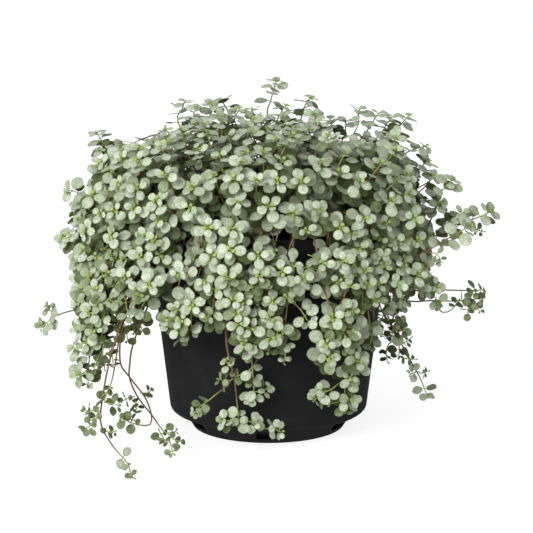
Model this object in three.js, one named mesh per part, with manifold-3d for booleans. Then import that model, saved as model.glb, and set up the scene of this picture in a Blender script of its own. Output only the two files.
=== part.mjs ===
// A silver sparkle pilea in a black nursery pot, in millimetres, +Z up.
// The origin is the middle of the pot's base. The front is -Y, and +X is to the right.
import * as THREE from "three";
import { mergeVertices } from "three/addons/utils/BufferGeometryUtils.js";
import Module from "manifold-3d";

const wasm = await Module();
wasm.setup();

// ---- Driving dimensions ----

const SIDES = 24; // of every turned piece, so that the soil follows the pot's wall
const POT_HEIGHT = 134;
const RIM_RADIUS = 77.5;
const RIM_DEPTH = 10;
const RIM_LIP = 2;
const FOOT_RADIUS = 48;
const FOOT_HEIGHT = 11;
const FOOT_TOP_RADIUS = 55;
const WALL_FOOT_RADIUS = 62;
const WALL = 1.6;
const DRAIN = { count: 6, circle: 32, radius: 4.5 };
const SLOT = { count: 6, width: 15, height: 5, middle: 5.5, depth: 10 };

const SOIL_TOP = 117; // 17 below the rim
const SOIL_RINGS = [58, 38, 18];
const SOIL_RELIEF = 2;
const SOIL_GAP = 0.4;
const ROOT_DEPTH = 12;
const HOLE_RADIUS = 1.8; // clear of a square stem turned any way

const DOME_MIDDLE = 120; // the height at which the mound is widest
const DOME_REACH = 109.5;
const DOME_RISE = 84;
const DOME_FALL = 60;
const DOME_POWER = 0.62; // below 1 squares the mound's shoulders
const CORE_INSET = 15; // the twiggy middle of a bunch lies this far inside its leaf tips
const CORE_THICK = 7;
const CORE_LUMP = 3;
const CORE_GAP = 1.6;
const TOP_SECTORS = 5;
const SIDE_SECTORS = 10;
const TOP_START = 0.012; // shares of the way down from the top of the mound to its edge
const TOP_END = 0.5;
const CORE_END = 0.82;

const STEM_SIDES = 4;
const STEM_RADIUS = 1.1;
const BLADE = 0.8; // leaf thickness, over the real 0.4
const ROOM = 0.35; // kept clear between the leaves of different bunches
// Leaves are larger than life, to cover the mound. They are cut to the notch's share of the radius.
const ROSETTE = { count: 4, radius: 22, cup: 0.32, notch: 0.22 };
const TIP = { count: 4, radius: 12.5, cup: 0.15, notch: 0.22 };
const PAIR = { count: 2, radius: 13.5, cup: 0.25, notch: 0.15 };
const LEAF_SIDE = { turn: 29, reach: 0.8 }; // the widest place of a leaf
const PAIR_STEP = 24;
const ATTEMPTS = 7;
const FLOOR_CLEAR = 0.4;
const NEAR_FLOOR = 14;

const BLACK = new THREE.MeshStandardMaterial({ color: 0x1b1b1c, roughness: 0.55 });
const BROWN = new THREE.MeshStandardMaterial({ color: 0x2b2018, roughness: 1 });
const SILVER_GREEN = new THREE.MeshStandardMaterial({ color: 0x9fb09a, roughness: 0.6 });

// ---- Helpers ----

const radians = THREE.MathUtils.degToRad;
const lerp = THREE.MathUtils.lerp;
const vector = (x, y, z) => new THREE.Vector3(x, y, z);

/** The same number between 0 and 1 for the same two whole numbers. */
function scatter(first, second) {
  const wave = Math.sin(first * 127.1 + second * 311.7 + 74.7) * 43758.5453;
  return wave - Math.floor(wave);
}

function polar(angle, radius, height) {
  return vector(radius * Math.cos(angle), radius * Math.sin(angle), height);
}

/** A closed three.js geometry as a manifold-3d solid. */
function toSolid(geometry) {
  const bare = geometry.index ? geometry.toNonIndexed() : geometry.clone();
  bare.deleteAttribute("normal");
  bare.deleteAttribute("uv");
  const merged = mergeVertices(bare, 1e-3);
  const corners = merged.index.array;
  const kept = [];
  for (let i = 0; i < corners.length; i += 3) {
    const [a, b, c] = corners.slice(i, i + 3);
    if (a !== b && b !== c && c !== a) kept.push(a, b, c);
  }
  return new wasm.Manifold(
    new wasm.Mesh({
      numProp: 3,
      vertProperties: merged.attributes.position.array,
      triVerts: new Uint32Array(kept),
    }),
  );
}

function toGeometry(solid) {
  const mesh = solid.getMesh();
  const geometry = new THREE.BufferGeometry();
  geometry.setAttribute("position", new THREE.BufferAttribute(mesh.vertProperties, 3));
  geometry.setIndex(new THREE.BufferAttribute(mesh.triVerts, 1));
  geometry.computeVertexNormals();
  return geometry;
}

function geometryOf(points, faces) {
  const geometry = new THREE.BufferGeometry();
  const positions = points.flatMap((point) => point.toArray());
  geometry.setAttribute("position", new THREE.Float32BufferAttribute(positions, 3));
  geometry.setIndex(faces);
  return geometry;
}

function turned(profile) {
  const outline = profile.map(([radius, height]) => new THREE.Vector2(radius, height));
  return new THREE.LatheGeometry(outline, SIDES).rotateX(Math.PI / 2);
}

/** A round stem of straight pieces between the points. */
function stem(points) {
  const ends = points.length - 1;
  const rings = [];
  let side = vector(0.31, 0.95, 0.1);
  points.forEach((point, i) => {
    const before = points[Math.max(i - 1, 0)];
    const after = points[Math.min(i + 1, ends)];
    const tangent = after.clone().sub(before).normalize();
    side.addScaledVector(tangent, -side.dot(tangent)).normalize();
    const other = vector().crossVectors(tangent, side);
    for (let k = 0; k < STEM_SIDES; k += 1) {
      const angle = (k * 2 * Math.PI) / STEM_SIDES;
      const out = side.clone().multiplyScalar(Math.cos(angle));
      out.addScaledVector(other, Math.sin(angle));
      rings.push(point.clone().addScaledVector(out, STEM_RADIUS));
    }
  });
  const faces = [];
  for (let i = 0; i < ends; i += 1) {
    for (let k = 0; k < STEM_SIDES; k += 1) {
      const a = i * STEM_SIDES + k;
      const b = i * STEM_SIDES + ((k + 1) % STEM_SIDES);
      faces.push(a, b, b + STEM_SIDES, a, b + STEM_SIDES, a + STEM_SIDES);
    }
  }
  for (let k = 1; k < STEM_SIDES - 1; k += 1) {
    const last = ends * STEM_SIDES;
    faces.push(0, k + 1, k, last, last + k, last + k + 1);
  }
  return toSolid(geometryOf(rings, faces));
}

/** The broken line through the points, which leaves are placed along. */
function lineThrough(points) {
  const line = new THREE.CurvePath();
  points.slice(1).forEach((point, i) => line.add(new THREE.LineCurve3(points[i], point)));
  return line;
}

// ---- Leaves ----

/** One thin blade at the origin that faces +Z, cut into round leaves round a small middle. The
 * leaves rise from the middle, and the first one points along +X. */
function leafBlade({ count, radius, cup, notch }, extra) {
  const step = (2 * Math.PI) / count;
  const corners = [];
  const top = [];
  for (let leaf = 0; leaf < count; leaf += 1) {
    const turned = radians(LEAF_SIDE.turn);
    const widest = LEAF_SIDE.reach;
    for (const [turn, reach] of [[-step / 2, notch], [-turned, widest], [0, 1], [turned, widest]]) {
      const rise = cup * radius * (Math.sqrt(reach) - Math.sqrt(notch));
      corners.push(polar(leaf * step + turn, reach * radius + extra, rise));
    }
    const [start, side, tip, other] = [0, 1, 2, 3].map((corner) => 4 * leaf + corner);
    const end = (4 * leaf + 4) % (4 * count);
    top.push([start, side, end], [side, other, end], [side, tip, other]);
    if (leaf > 1) top.push([0, 4 * leaf - 4, 4 * leaf]);
  }
  const total = corners.length;
  const half = BLADE / 2 + extra;
  const points = [half, -half].flatMap((lift) => {
    return corners.map((corner) => vector(corner.x, corner.y, corner.z + lift));
  });
  const faces = top.flatMap(([a, b, c]) => [a, b, c, total + a, total + c, total + b]);
  for (let i = 0; i < total; i += 1) {
    const next = (i + 1) % total;
    faces.push(i, total + i, total + next, i, total + next, next);
  }
  return geometryOf(points, faces);
}

/** The blade where it grows on a plant, grown by extra on all sides, and lifted off the floor. */
function placedBlade({ shape, point, facing, along }, extra) {
  const z = facing.clone().normalize();
  const x = along.clone().addScaledVector(z, -along.dot(z)).normalize();
  const y = vector().crossVectors(z, x);
  const geometry = leafBlade(shape, extra);
  geometry.applyMatrix4(new THREE.Matrix4().makeBasis(x, y, z).setPosition(point));
  geometry.computeBoundingBox();
  const lift = Math.max(0, FLOOR_CLEAR - extra - geometry.boundingBox.min.z);
  return toSolid(geometry.translate(0, 0, lift));
}

function boxesApart(one, two) {
  const [a, b] = [one.boundingBox(), two.boundingBox()];
  return [0, 1, 2].some((axis) => a.min[axis] > b.max[axis] || b.min[axis] > a.max[axis]);
}

/** Adds a leaf to its plant, turned and shortened until it is clear of all but what it grows from. */
function unfurl(plant, leaf, others) {
  const near = [...others, ...plant.parts.filter((part) => part !== leaf.carrier)];
  for (let attempt = 0; attempt < ATTEMPTS; attempt += 1) {
    const along = leaf.along.clone().applyAxisAngle(leaf.facing.clone().normalize(), 0.4 * attempt);
    const shape = { ...leaf.shape, radius: leaf.shape.radius * 0.94 ** attempt };
    const tried = { ...leaf, along, shape };
    const roomy = placedBlade(tried, ROOM);
    const clear = (other) => boxesApart(other, roomy) || other.intersect(roomy).isEmpty();
    if (near.every(clear)) {
      plant.parts.push(placedBlade(tried, 0));
      return;
    }
  }
}

// ---- The mound's outer surface ----

/** How far the mound reaches from the pot's axis: most to the left, least at the back. */
function domeReach(angle) {
  return DOME_REACH - 8 * Math.cos(angle) - 2 * Math.sin(angle) + 4 * Math.cos(2 * angle);
}

/** The mound ends lower at the sides and back than at the front, where the rim shows. */
function domeEnd(angle) {
  const front = Math.max(0, -Math.sin(angle));
  return radians(101 - 10 * front * front);
}

const squared = (value) => Math.sign(value) * Math.abs(value) ** DOME_POWER;

/** A point of the mound, from its top at down 0 to its lower edge at down 1. */
function domePoint(angle, down) {
  const tilt = down * domeEnd(angle);
  const height = squared(Math.cos(tilt));
  const z = DOME_MIDDLE + height * (height > 0 ? DOME_RISE : DOME_FALL);
  return polar(angle, domeReach(angle) * squared(Math.sin(tilt)), z);
}

function domeNormal(angle, down) {
  const small = 0.02;
  const across = domePoint(angle + small, down).sub(domePoint(angle - small, down));
  const along = domePoint(angle, down + small).sub(domePoint(angle, Math.max(down - small, 1e-4)));
  return along.cross(across).normalize();
}

function insideDome(angle, down, inset) {
  return domePoint(angle, down).addScaledVector(domeNormal(angle, down), -inset);
}

// ---- Pot and soil ----

const wallSlope =
  (RIM_RADIUS - RIM_LIP - WALL_FOOT_RADIUS) / (POT_HEIGHT - RIM_DEPTH - FOOT_HEIGHT);
const wallRadius = (height) => WALL_FOOT_RADIUS + wallSlope * (height - FOOT_HEIGHT);

/** The inside of the pot from the middle of its floor to the height given, less a gap. */
function innerProfile(top, gap) {
  const floor = WALL + 1 + gap;
  return [
    [0, floor],
    [FOOT_RADIUS - WALL - gap, floor],
    [FOOT_TOP_RADIUS - WALL - gap, FOOT_HEIGHT + WALL + gap],
    [WALL_FOOT_RADIUS - WALL - gap, FOOT_HEIGHT + WALL + gap + 1],
    [wallRadius(top) - WALL - gap, top],
  ];
}

function makePot() {
  const shoulder = POT_HEIGHT - RIM_DEPTH;
  const profile = [
    [0, 0],
    [FOOT_RADIUS, 0],
    [FOOT_TOP_RADIUS, FOOT_HEIGHT + 0.6],
    [WALL_FOOT_RADIUS - 2, FOOT_HEIGHT - 1],
    [WALL_FOOT_RADIUS, FOOT_HEIGHT + 1],
    [wallRadius(shoulder), shoulder],
    [RIM_RADIUS, shoulder + 1],
    [RIM_RADIUS, POT_HEIGHT - 1],
    [RIM_RADIUS - 1, POT_HEIGHT],
    ...innerProfile(POT_HEIGHT, 0).reverse(),
  ];
  let pot = toSolid(turned(profile));
  for (let i = 0; i < DRAIN.count; i += 1) {
    const angle = (i * 2 * Math.PI) / DRAIN.count;
    const drain = new THREE.CylinderGeometry(DRAIN.radius, DRAIN.radius, 4 * WALL, 8);
    drain.rotateX(Math.PI / 2).translate(DRAIN.circle, 0, WALL).rotateZ(angle);
    pot = pot.subtract(toSolid(drain));
    const slot = new THREE.BoxGeometry(SLOT.depth, SLOT.width, SLOT.height);
    slot.translate(FOOT_RADIUS + 2, 0, SLOT.middle).rotateZ(angle + Math.PI / SLOT.count);
    pot = pot.subtract(toSolid(slot));
  }
  return pot;
}

/** Potting mix that fills the pot, with a crumbly top and a hole for each stem. */
function makeSoil(roots) {
  const profile = innerProfile(SOIL_TOP, SOIL_GAP);
  SOIL_RINGS.forEach((radius) => profile.push([radius, SOIL_TOP]));
  profile.push([0, SOIL_TOP]);
  const geometry = turned(profile);
  const position = geometry.attributes.position;
  for (let i = 0; i < position.count; i += 1) {
    const [x, y, z] = [position.getX(i), position.getY(i), position.getZ(i)];
    if (z < SOIL_TOP - 1 || Math.hypot(x, y) > SOIL_RINGS[0] + 1) continue;
    const lump = Math.sin(x * 0.31 + y * 0.17) + Math.cos(y * 0.29 - x * 0.23);
    position.setZ(i, z + (SOIL_RELIEF * lump) / 2);
  }
  let soil = toSolid(geometry);
  for (const root of roots) {
    const depth = ROOT_DEPTH + SOIL_RELIEF;
    const hole = new THREE.CylinderGeometry(HOLE_RADIUS, HOLE_RADIUS, 2 * depth, STEM_SIDES);
    hole.rotateX(Math.PI / 2).translate(root.x, root.y, SOIL_TOP + ROOM);
    soil = soil.subtract(toSolid(hole));
  }
  return soil;
}

/** The first points of a stem that stands upright in the soil. */
function rooted(angle, radius) {
  return [SOIL_TOP - ROOT_DEPTH, SOIL_TOP + 8].map((height) => polar(angle, radius, height));
}

// ---- The mound: bunches of leafy stems, each round its own twiggy core ----

/** A thick patch of the shell under the mound's leaves, which takes in one sector. */
function corePatch({ from, to, high, low, across, rows }, seed) {
  const middle = (from + to) / 2;
  const half = (to - from) / 2;
  const points = [];
  for (const depth of [CORE_INSET, CORE_INSET + CORE_THICK]) {
    for (let j = 0; j <= rows; j += 1) {
      const down = lerp(high, low, j / rows);
      const reach = insideDome(middle, down, depth).setZ(0).length();
      const trimmed = Math.max(half - CORE_GAP / 2 / reach, half * 0.2);
      for (let i = 0; i <= across; i += 1) {
        const lump = depth > CORE_INSET ? 0 : CORE_LUMP * (2 * scatter(seed, i * 7 + j) - 1);
        points.push(insideDome(middle + trimmed * ((2 * i) / across - 1), down, depth + lump));
      }
    }
  }
  const row = across + 1;
  const layer = row * (rows + 1);
  const faces = [];
  const quad = (a, b, c, d) => faces.push(a, b, c, a, c, d);
  for (let j = 0; j < rows; j += 1) {
    for (let i = 0; i < across; i += 1) {
      const a = j * row + i;
      quad(a, a + row, a + row + 1, a + 1);
      quad(layer + a, layer + a + 1, layer + a + row + 1, layer + a + row);
    }
    const start = j * row;
    const end = start + across;
    quad(start + row, start, layer + start, layer + start + row);
    quad(end, end + row, layer + end + row, layer + end);
  }
  for (let i = 0; i < across; i += 1) {
    const last = rows * row + i;
    quad(i, i + 1, layer + i + 1, layer + i);
    quad(last + 1, last, layer + last, layer + last + 1);
  }
  return toSolid(geometryOf(points, faces));
}

/** A four-leaf rosette on the mound. Its stalk is sunk in the core, and hangs below the core's edge
 * to the lowest rosettes. */
function rosetteAt(angle, down, seed) {
  const normal = domeNormal(angle, down);
  const lean = vector(scatter(seed, 1) - 0.5, scatter(seed, 2) - 0.5, scatter(seed, 3) - 0.3);
  const spin = 2 * Math.PI * scatter(seed, 4);
  const radius = ROSETTE.radius * (0.9 + 0.2 * scatter(seed, 5));
  const hub = insideDome(angle, down, ROSETTE.cup * radius);
  const leaf = {
    shape: { ...ROSETTE, radius },
    point: hub,
    facing: normal.clone().addScaledVector(lean, 0.3),
    along: vector(Math.cos(spin), Math.sin(spin), 0.3 * Math.sin(3 * spin)),
  };
  const seat = insideDome(angle, Math.min(down, CORE_END - 0.04), CORE_INSET + 4);
  leaf.carrier = stem([seat, hub]);
  return leaf;
}

const TOP_SPOTS = [[0, 0.09], [-0.52, 0.24], [0.5, 0.22], [-0.1, 0.38], [0.66, 0.4]];
const SIDE_SPOTS = [[-0.5, 0.57], [0.5, 0.6], [0, 0.74], [-0.52, 0.87], [0.5, 0.92], [-0.05, 1]];

// Shoots that stand out of the mound, from a place on it to a tip.
const SPRIGS = [
  { angle: 270, down: 0.04, tip: [5, 0, 219] },
  { angle: 0, down: 0.2, tip: [88, 2, 199] },
  { angle: 350, down: 0.62, tip: [117, -20, 160] },
  { angle: 346, down: 0.78, tip: [143, -20, 140] },
  { angle: 336, down: 0.74, tip: [131, -50, 134] },
  { angle: 186, down: 0.46, tip: [-107, -12, 186] },
  { angle: 60, down: 0.7, tip: [62, 100, 160] },
];

function makeSprig({ angle, down, tip }) {
  const turn = radians(angle);
  const root = insideDome(turn, down, CORE_INSET + 4);
  const end = vector(...tip);
  const bend = root.clone().lerp(end, 0.5).add(vector(0, 0, 0.06 * root.distanceTo(end)));
  const points = [root, bend, end];
  const outward = end.clone().sub(root).normalize();
  const facing = vector(0, 0, 1).addScaledVector(outward, 0.8);
  const carrier = stem(points);
  const tipLeaf = { carrier, shape: TIP, point: end, facing, along: vector(0.6, 0.8, 0) };
  const pairFacing = vector(0, -0.3, 1).addScaledVector(outward, 0.5);
  const pair = { carrier, shape: PAIR, point: bend, facing: pairFacing, along: vector(0.2, 1, 0) };
  return [tipLeaf, pair];
}

function makeBunch(name, sector, spots, rootRadius, seed) {
  const middle = (sector.from + sector.to) / 2;
  const half = (sector.to - sector.from) / 2;
  const rise = rooted(middle, rootRadius);
  const seat = insideDome(middle, lerp(sector.high, sector.low, 0.35), CORE_INSET + CORE_THICK - 3);
  const bend = rise[1].clone().lerp(seat, 0.5).add(vector(0, 0, 8));
  const leaves = spots.map(([across, down], i) => {
    return rosetteAt(middle + across * half, down, seed * 10 + i);
  });
  for (const sprig of SPRIGS) {
    const turn = THREE.MathUtils.euclideanModulo(radians(sprig.angle) - sector.from, 2 * Math.PI);
    const grows = turn < 2 * half && sprig.down > sector.high && sprig.down < sector.low;
    if (grows) leaves.push(...makeSprig(sprig));
  }
  const carriers = new Set(leaves.map((leaf) => leaf.carrier));
  const parts = [corePatch(sector, seed), stem([...rise, bend, seat]), ...carriers];
  return { name, root: rise[0], parts, leaves };
}

// ---- Trailing stems ----

// Each stem stands in the soil at the angle `root`, goes over the rim and then through `path`.
// Its leaves start at the height `leafy`.
const TRAILS = {
  left_out: { root: 187, path: [[-108, -18, 90], [-126, -28, 82], [-142, -32, 76]], leafy: 96 },
  left_1: { root: 199, path: [[-110, -38, 82], [-114, -48, 58], [-108, -56, 34]], leafy: 92 },
  left_2: {
    root: 211,
    path: [[-99, -58, 88], [-104, -72, 64], [-104, -84, 40], [-108, -94, 20]],
    leafy: 92,
  },
  left_long: {
    root: 221,
    path: [
      [-84, -74, 84], [-90, -86, 60], [-90, -92, 30], [-84, -100, 8], [-82, -122, 4], [-78, -154, 3.5],
    ],
    leafy: 88,
  },
  left_3: { root: 230, path: [[-70, -82, 88], [-72, -86, 66], [-68, -90, 40], [-60, -94, 14]], leafy: 96 },
  front_left: { root: 241, path: [[-48, -86, 104], [-54, -84, 84], [-54, -80, 62]], leafy: 126 },
  front_1: {
    root: 253,
    path: [[-25, -93, 106], [-27, -90, 80], [-22, -82, 52], [-20, -78, 28], [-8, -76, 10]],
    leafy: 126,
  },
  front_2: { root: 264, path: [[-5, -95, 106], [-8, -90, 84], [-4, -82, 54], [2, -78, 38]], leafy: 126 },
  front_3: { root: 277, path: [[14, -94, 102], [16, -91, 80], [18, -86, 58]], leafy: 108 },
  front_4: {
    root: 290,
    path: [[33, -89, 102], [38, -84, 80], [40, -80, 58], [46, -74, 38], [52, -68, 20]],
    leafy: 108,
  },
  front_right: { root: 304, path: [[54, -80, 102], [58, -74, 80], [62, -64, 58]], leafy: 120 },
  right_1: { root: 321, path: [[80, -54, 92], [96, -54, 78], [100, -50, 58]], leafy: 96 },
  right_low: { root: 334, path: [[82, -34, 88], [84, -32, 66], [92, -32, 42], [100, -30, 24]], leafy: 90 },
  right_out: { root: 349, path: [[96, -14, 92], [114, -15, 88], [134, -15, 86]], leafy: 96 },
  back_right: { root: 22, path: [[88, 34, 86], [94, 40, 64], [90, 44, 42]], leafy: 94 },
  back_1: { root: 68, path: [[38, 84, 84], [54, 88, 62], [48, 90, 36]], leafy: 94 },
  back_2: { root: 100, path: [[-12, 92, 86], [-8, 98, 66], [-6, 94, 44]], leafy: 94 },
  back_left: { root: 131, path: [[-62, 70, 84], [-70, 80, 58], [-66, 84, 30]], leafy: 94 },
  left_back: { root: 163, path: [[-98, 28, 84], [-106, 32, 60], [-102, 34, 36]], leafy: 94 },
};
const TRAIL_ROOT = 60;
const OVER_RIM = [[79, 140.5], [83, 120]];

/** Leaves turn to the light, out from the pot, up and on a little along the stem. Near the surface
 * below they lie flat. */
function trailFacing(point, tangent, onward) {
  const upright = point.z < NEAR_FLOOR ? 0.1 : 1;
  const facing = vector(point.x, point.y, 0).normalize().addScaledVector(tangent, onward);
  return facing.multiplyScalar(upright).add(vector(0, 0, 0.7));
}

function makeTrail(name, { root, path, leafy }, seed) {
  const angle = radians(root);
  const points = [
    ...rooted(angle, TRAIL_ROOT),
    ...OVER_RIM.map(([radius, height]) => polar(angle, radius, height)),
    ...path.map((point) => vector(...point)),
  ];
  const line = lineThrough(points);
  const length = line.getLength();
  const carrier = stem(points);
  const leaves = [];
  let turn = 1;
  for (let back = PAIR_STEP; back < length; back += PAIR_STEP) {
    const share = 1 - back / length;
    const point = line.getPoint(share);
    if (point.z > leafy) break;
    const tangent = line.getTangent(share);
    const facing = trailFacing(point, tangent, 0).projectOnPlane(tangent).normalize();
    const along = vector().crossVectors(tangent, facing).multiplyScalar(turn);
    const radius = PAIR.radius * (0.9 + 0.2 * scatter(seed, back));
    along.addScaledVector(tangent, 0.7);
    point.addScaledVector(facing, STEM_RADIUS * 0.8);
    leaves.push({ carrier, shape: { ...PAIR, radius }, point, facing, along });
    turn = -turn;
  }
  const tip = line.getPoint(1);
  const tangent = line.getTangent(1);
  const facing = trailFacing(tip, tangent, 0.5);
  const aside = tangent.clone().add(vector(0.3, 0.2, 0));
  leaves.push({ carrier, shape: TIP, point: tip, facing, along: aside });
  return { name, root: points[0], parts: [carrier], leaves };
}

// ---- The whole plant ----

const plants = [];
for (let i = 0; i < TOP_SECTORS; i += 1) {
  const width = (2 * Math.PI) / TOP_SECTORS;
  const from = i * width + radians(18);
  const extent = { from, to: from + width, high: TOP_START, low: TOP_END - 0.01 };
  const sector = { ...extent, across: 3, rows: 2 };
  plants.push(makeBunch(`bunch_top_${i + 1}`, sector, TOP_SPOTS, 22, i + 1));
}
for (let i = 0; i < SIDE_SECTORS; i += 1) {
  const width = (2 * Math.PI) / SIDE_SECTORS;
  const from = i * width;
  const extent = { from, to: from + width, high: TOP_END + 0.01, low: CORE_END };
  const sector = { ...extent, across: 2, rows: 2 };
  plants.push(makeBunch(`bunch_side_${i + 1}`, sector, SIDE_SPOTS, 44, i + 11));
}
Object.entries(TRAILS).forEach(([name, trail], i) => {
  plants.push(makeTrail(`trail_${name}`, trail, i + 41));
});

const pot = makePot();
const soil = makeSoil(plants.map((plant) => plant.root));
for (const plant of plants) {
  const others = plants.filter((other) => other !== plant).flatMap((other) => other.parts);
  plant.leaves.forEach((leaf) => unfurl(plant, leaf, [pot, soil, ...others]));
}

const group = new THREE.Group();

function show(name, solid, material) {
  const mesh = new THREE.Mesh(toGeometry(solid), material);
  mesh.name = name;
  group.add(mesh);
}

show("pot", pot, BLACK);
show("soil", soil, BROWN);
for (const { name, parts } of plants) {
  show(name, parts.reduce((whole, part) => whole.add(part)), SILVER_GREEN);
}

export default group;
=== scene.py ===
"""The looks of a silver sparkle pilea in its black nursery pot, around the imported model.

Each foliage node is replaced by two finer pieces that keep its place and reach: its leaves and its
stems. The pot and the potting mix are replaced by finer ones of the same size. Lengths are in
millimetres, as in the CAD source, and become metres where a mesh is made. The front is -Y.
"""
import math

import bpy
import numpy as np
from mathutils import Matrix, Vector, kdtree


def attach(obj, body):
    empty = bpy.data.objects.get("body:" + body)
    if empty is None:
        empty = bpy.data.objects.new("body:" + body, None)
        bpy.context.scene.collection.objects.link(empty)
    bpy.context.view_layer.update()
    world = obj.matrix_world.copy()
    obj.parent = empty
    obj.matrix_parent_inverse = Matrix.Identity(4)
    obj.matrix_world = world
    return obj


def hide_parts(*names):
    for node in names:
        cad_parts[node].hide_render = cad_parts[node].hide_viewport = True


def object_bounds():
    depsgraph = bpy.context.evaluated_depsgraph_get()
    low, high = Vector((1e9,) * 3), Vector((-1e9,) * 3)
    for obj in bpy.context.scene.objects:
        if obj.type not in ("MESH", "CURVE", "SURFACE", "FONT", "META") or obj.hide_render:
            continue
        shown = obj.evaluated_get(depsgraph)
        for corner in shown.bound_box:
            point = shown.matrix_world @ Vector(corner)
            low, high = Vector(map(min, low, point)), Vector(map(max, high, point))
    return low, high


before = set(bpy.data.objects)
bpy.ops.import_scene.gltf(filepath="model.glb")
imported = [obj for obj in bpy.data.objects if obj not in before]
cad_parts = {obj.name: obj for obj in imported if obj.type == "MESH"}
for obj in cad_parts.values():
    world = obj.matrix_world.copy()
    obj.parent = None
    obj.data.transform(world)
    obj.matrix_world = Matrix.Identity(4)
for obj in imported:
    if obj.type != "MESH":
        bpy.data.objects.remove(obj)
cad_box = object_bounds()

METRE = 0.001  # one millimetre
BODY = "root"
UP = np.array([0.0, 0.0, 1.0])
FRONT = np.array([0.0, -1.0, 0.0])

# ---- Camera and light ----

CAMERA_TARGET = np.array([-1.26, 0.0, 101.5])
CAMERA_DISTANCE = 1600
CAMERA_HEIGHT = 12  # degrees above level
CAMERA_LENS = 172.1
SENSOR = 36
FLOOR_SIZE = 16000
FLOOR_GLOW = 0.83
SURROUND = 0.42  # how bright the even white surround is
# Each light's place, the side of its square and its power.
LIGHTS = {
    "key": ((-1000, -1650, 950), 1100, 38),
    "fill": ((1300, -900, 900), 1200, 1.5),
    "back": ((300, 1700, 900), 1100, 4),
}
LIGHT_TARGET = np.array([0, 0, 100])

# ---- Pot and soil, as in the CAD source ----

POT_HEIGHT = 134
RIM_RADIUS = 77.5
RIM_DEPTH = 10
RIM_LIP = 2
FOOT_RADIUS = 48
FOOT_HEIGHT = 11
FOOT_TOP_RADIUS = 55
WALL_FOOT_RADIUS = 62
WALL = 1.6
DRAINS = 6
DRAIN_CIRCLE = 32
DRAIN_RADIUS = 4.5
DRAIN_SIDES = 32
SLOT_SIZE = (10, 15, 5)
SLOT_MIDDLE = 5.5
SOIL_TOP = 117
SOIL_RELIEF = 2.2
SOIL_GAP = 0.4
SOIL_RINGS = 48
SOIL_KNOBS = 90  # the soft bumps of its top
KNOB_RADII = (3, 9)
KNOB_PLACES = (-60, 60)
CRUMB = 0.25
POT_SIDES = 144
# The radii of the pot's rounded edges, from its foot up to its rim.
FOOT_ROUND = 0.6
SHOULDER_ROUND = 4
NECK_ROUND = 0.9
BAND_ROUND = 0.8
RIM_ROUND = 1.1
POT_CREASE = 38  # edges of the pot sharper than this, in degrees, are drawn as edges

# ---- The mound, as in the CAD source ----

DOME_MIDDLE = 120
DOME_REACH = 109.5
DOME_LEFT = 8  # how much farther than that it reaches to the left, less to the right
DOME_FRONT = 2
DOME_WIDE = 4  # how much farther to both sides, less to the front and back
DOME_RISE = 84
DOME_FALL = 60
DOME_POWER = 0.62
DOME_END = 101  # degrees from its top down to its lower edge
DOME_FRONT_END = 10  # how much less at the front
TOP_SECTORS = 5
TOP_TURN = 18  # degrees to the start of the first top bunch
TOP_END = 0.5
SIDE_SECTORS = 10
RIM_CLEAR = 140.5  # the height at which stems cross the rim
RIM_AFTER = (86, 124)  # the radius and height at which they hang after it

# ---- Shoots of the mound ----

SHOOT_GAP = 11.3  # the least distance between two shoot tips of the mound
TOP_GAP = 2.6  # what is added to it on the top
SHOOT_TRIES = 14000
SHOOT_LEAFY = 46
SHOOT_TIP = 24  # the last stretch of a shoot, which leans to the light
SHOOT_LEAN = 0.35  # how far it leans up and, on the front half, to the front
SHOOT_FRONT = 0.4
SHOOT_SCATTER = 0.22
SHOOT_DOWN = 0.8  # below 1, more of them stand low on the mound
SHOOT_SIZES = (0.88, 1.12)
SHOOT_LIFTS = (-5, 3)  # how far they stand out of the mound, before the clumps
LUMP_SIZE = 12.5  # the mound's clumps of shoots, and how far they stand out
LUMP_LIFT = 9.0
LUMP_GAP = -0.52  # where it lies deeper than this, no shoots stand

# ---- Stems and stalks ----

ROUTE_STEP = 3.0
SPAN_STEPS = 10  # the steps into which each span of a route is first cut
ROOT_RING = (8, 52)  # where in the soil the mound's stems stand
ROOT_DEPTH = 3
ROOT_SPREAD = 12  # degrees
INSIDE_SHARE = 0.6  # how far out they stand inside the rim: this share of their reach,
INSIDE_MOST = 60  # and at most this
RIM_RIDE = 84  # how far out the low ones cross the rim
STEM_RADIUS = 0.58
TIP_RADIUS = 0.32
STEM_TAPER = 70  # the stretch at the tip over which a stem gets thinner, and how evenly
STEM_POWER = 0.6
STEM_YOUNG = 45  # the stretch at the tip over which it turns from green to brown
STEM_SIDES = 5
STALK_RADIUS = 0.26
STALK_END = 0.8  # its radius at the leaf, as a share of that
STALK_AGE = 0.1  # how old it looks, and at its root older by a share of its leaf's age
STALK_OLDER = 0.35
STALK_SHADE = 0.2
STALK_SIDES = 3
STALK_LEAST = 0.2  # a stalk's length is this and a share of its leaf's
STALK_SHARE = 0.19

# ---- Pairs of leaves ----

# For each pair from the tip back: the way to the next pair, a leaf's length, how far its leaves
# are raised towards the tip in degrees, and how old they are from 0 to 1.
PAIRS = [
    (0.4, 2.2, 40, 0.0),
    (1.3, 5.0, 22, 0.45),
    (2.6, 6.6, 12, 0.7),
    (4.6, 7.8, 6, 0.85),
    (6.4, 8.4, 2, 0.95),
    (7.2, 8.2, -2, 1.0),
]
FIRST_PAIR = 0.3  # how far from the tip the first pair stands
BARE_FOOT = 2  # the stretch at its root where a stem has no leaves
PAIR_SPREAD = (0.85, 1.2)
ROLL_SPREAD = 0.2  # radians
LENGTH_SPREAD = (0.88, 1.1)
TRAIL_SIZE = 0.98  # how large the leaves of hanging stems are
HEAD_SIZE = 0.8  # on the stems that are bare but for their tip
TWIG_SIZES = (1.15, 0.9)  # of a twig's leaves, from pale to dark
TWIG_SPARSE = 0.85
DARKER = 0.3  # the most painted shade that is added at random to a side shoot or a stem of the curtain

# ---- How leaves turn to the light ----

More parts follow.
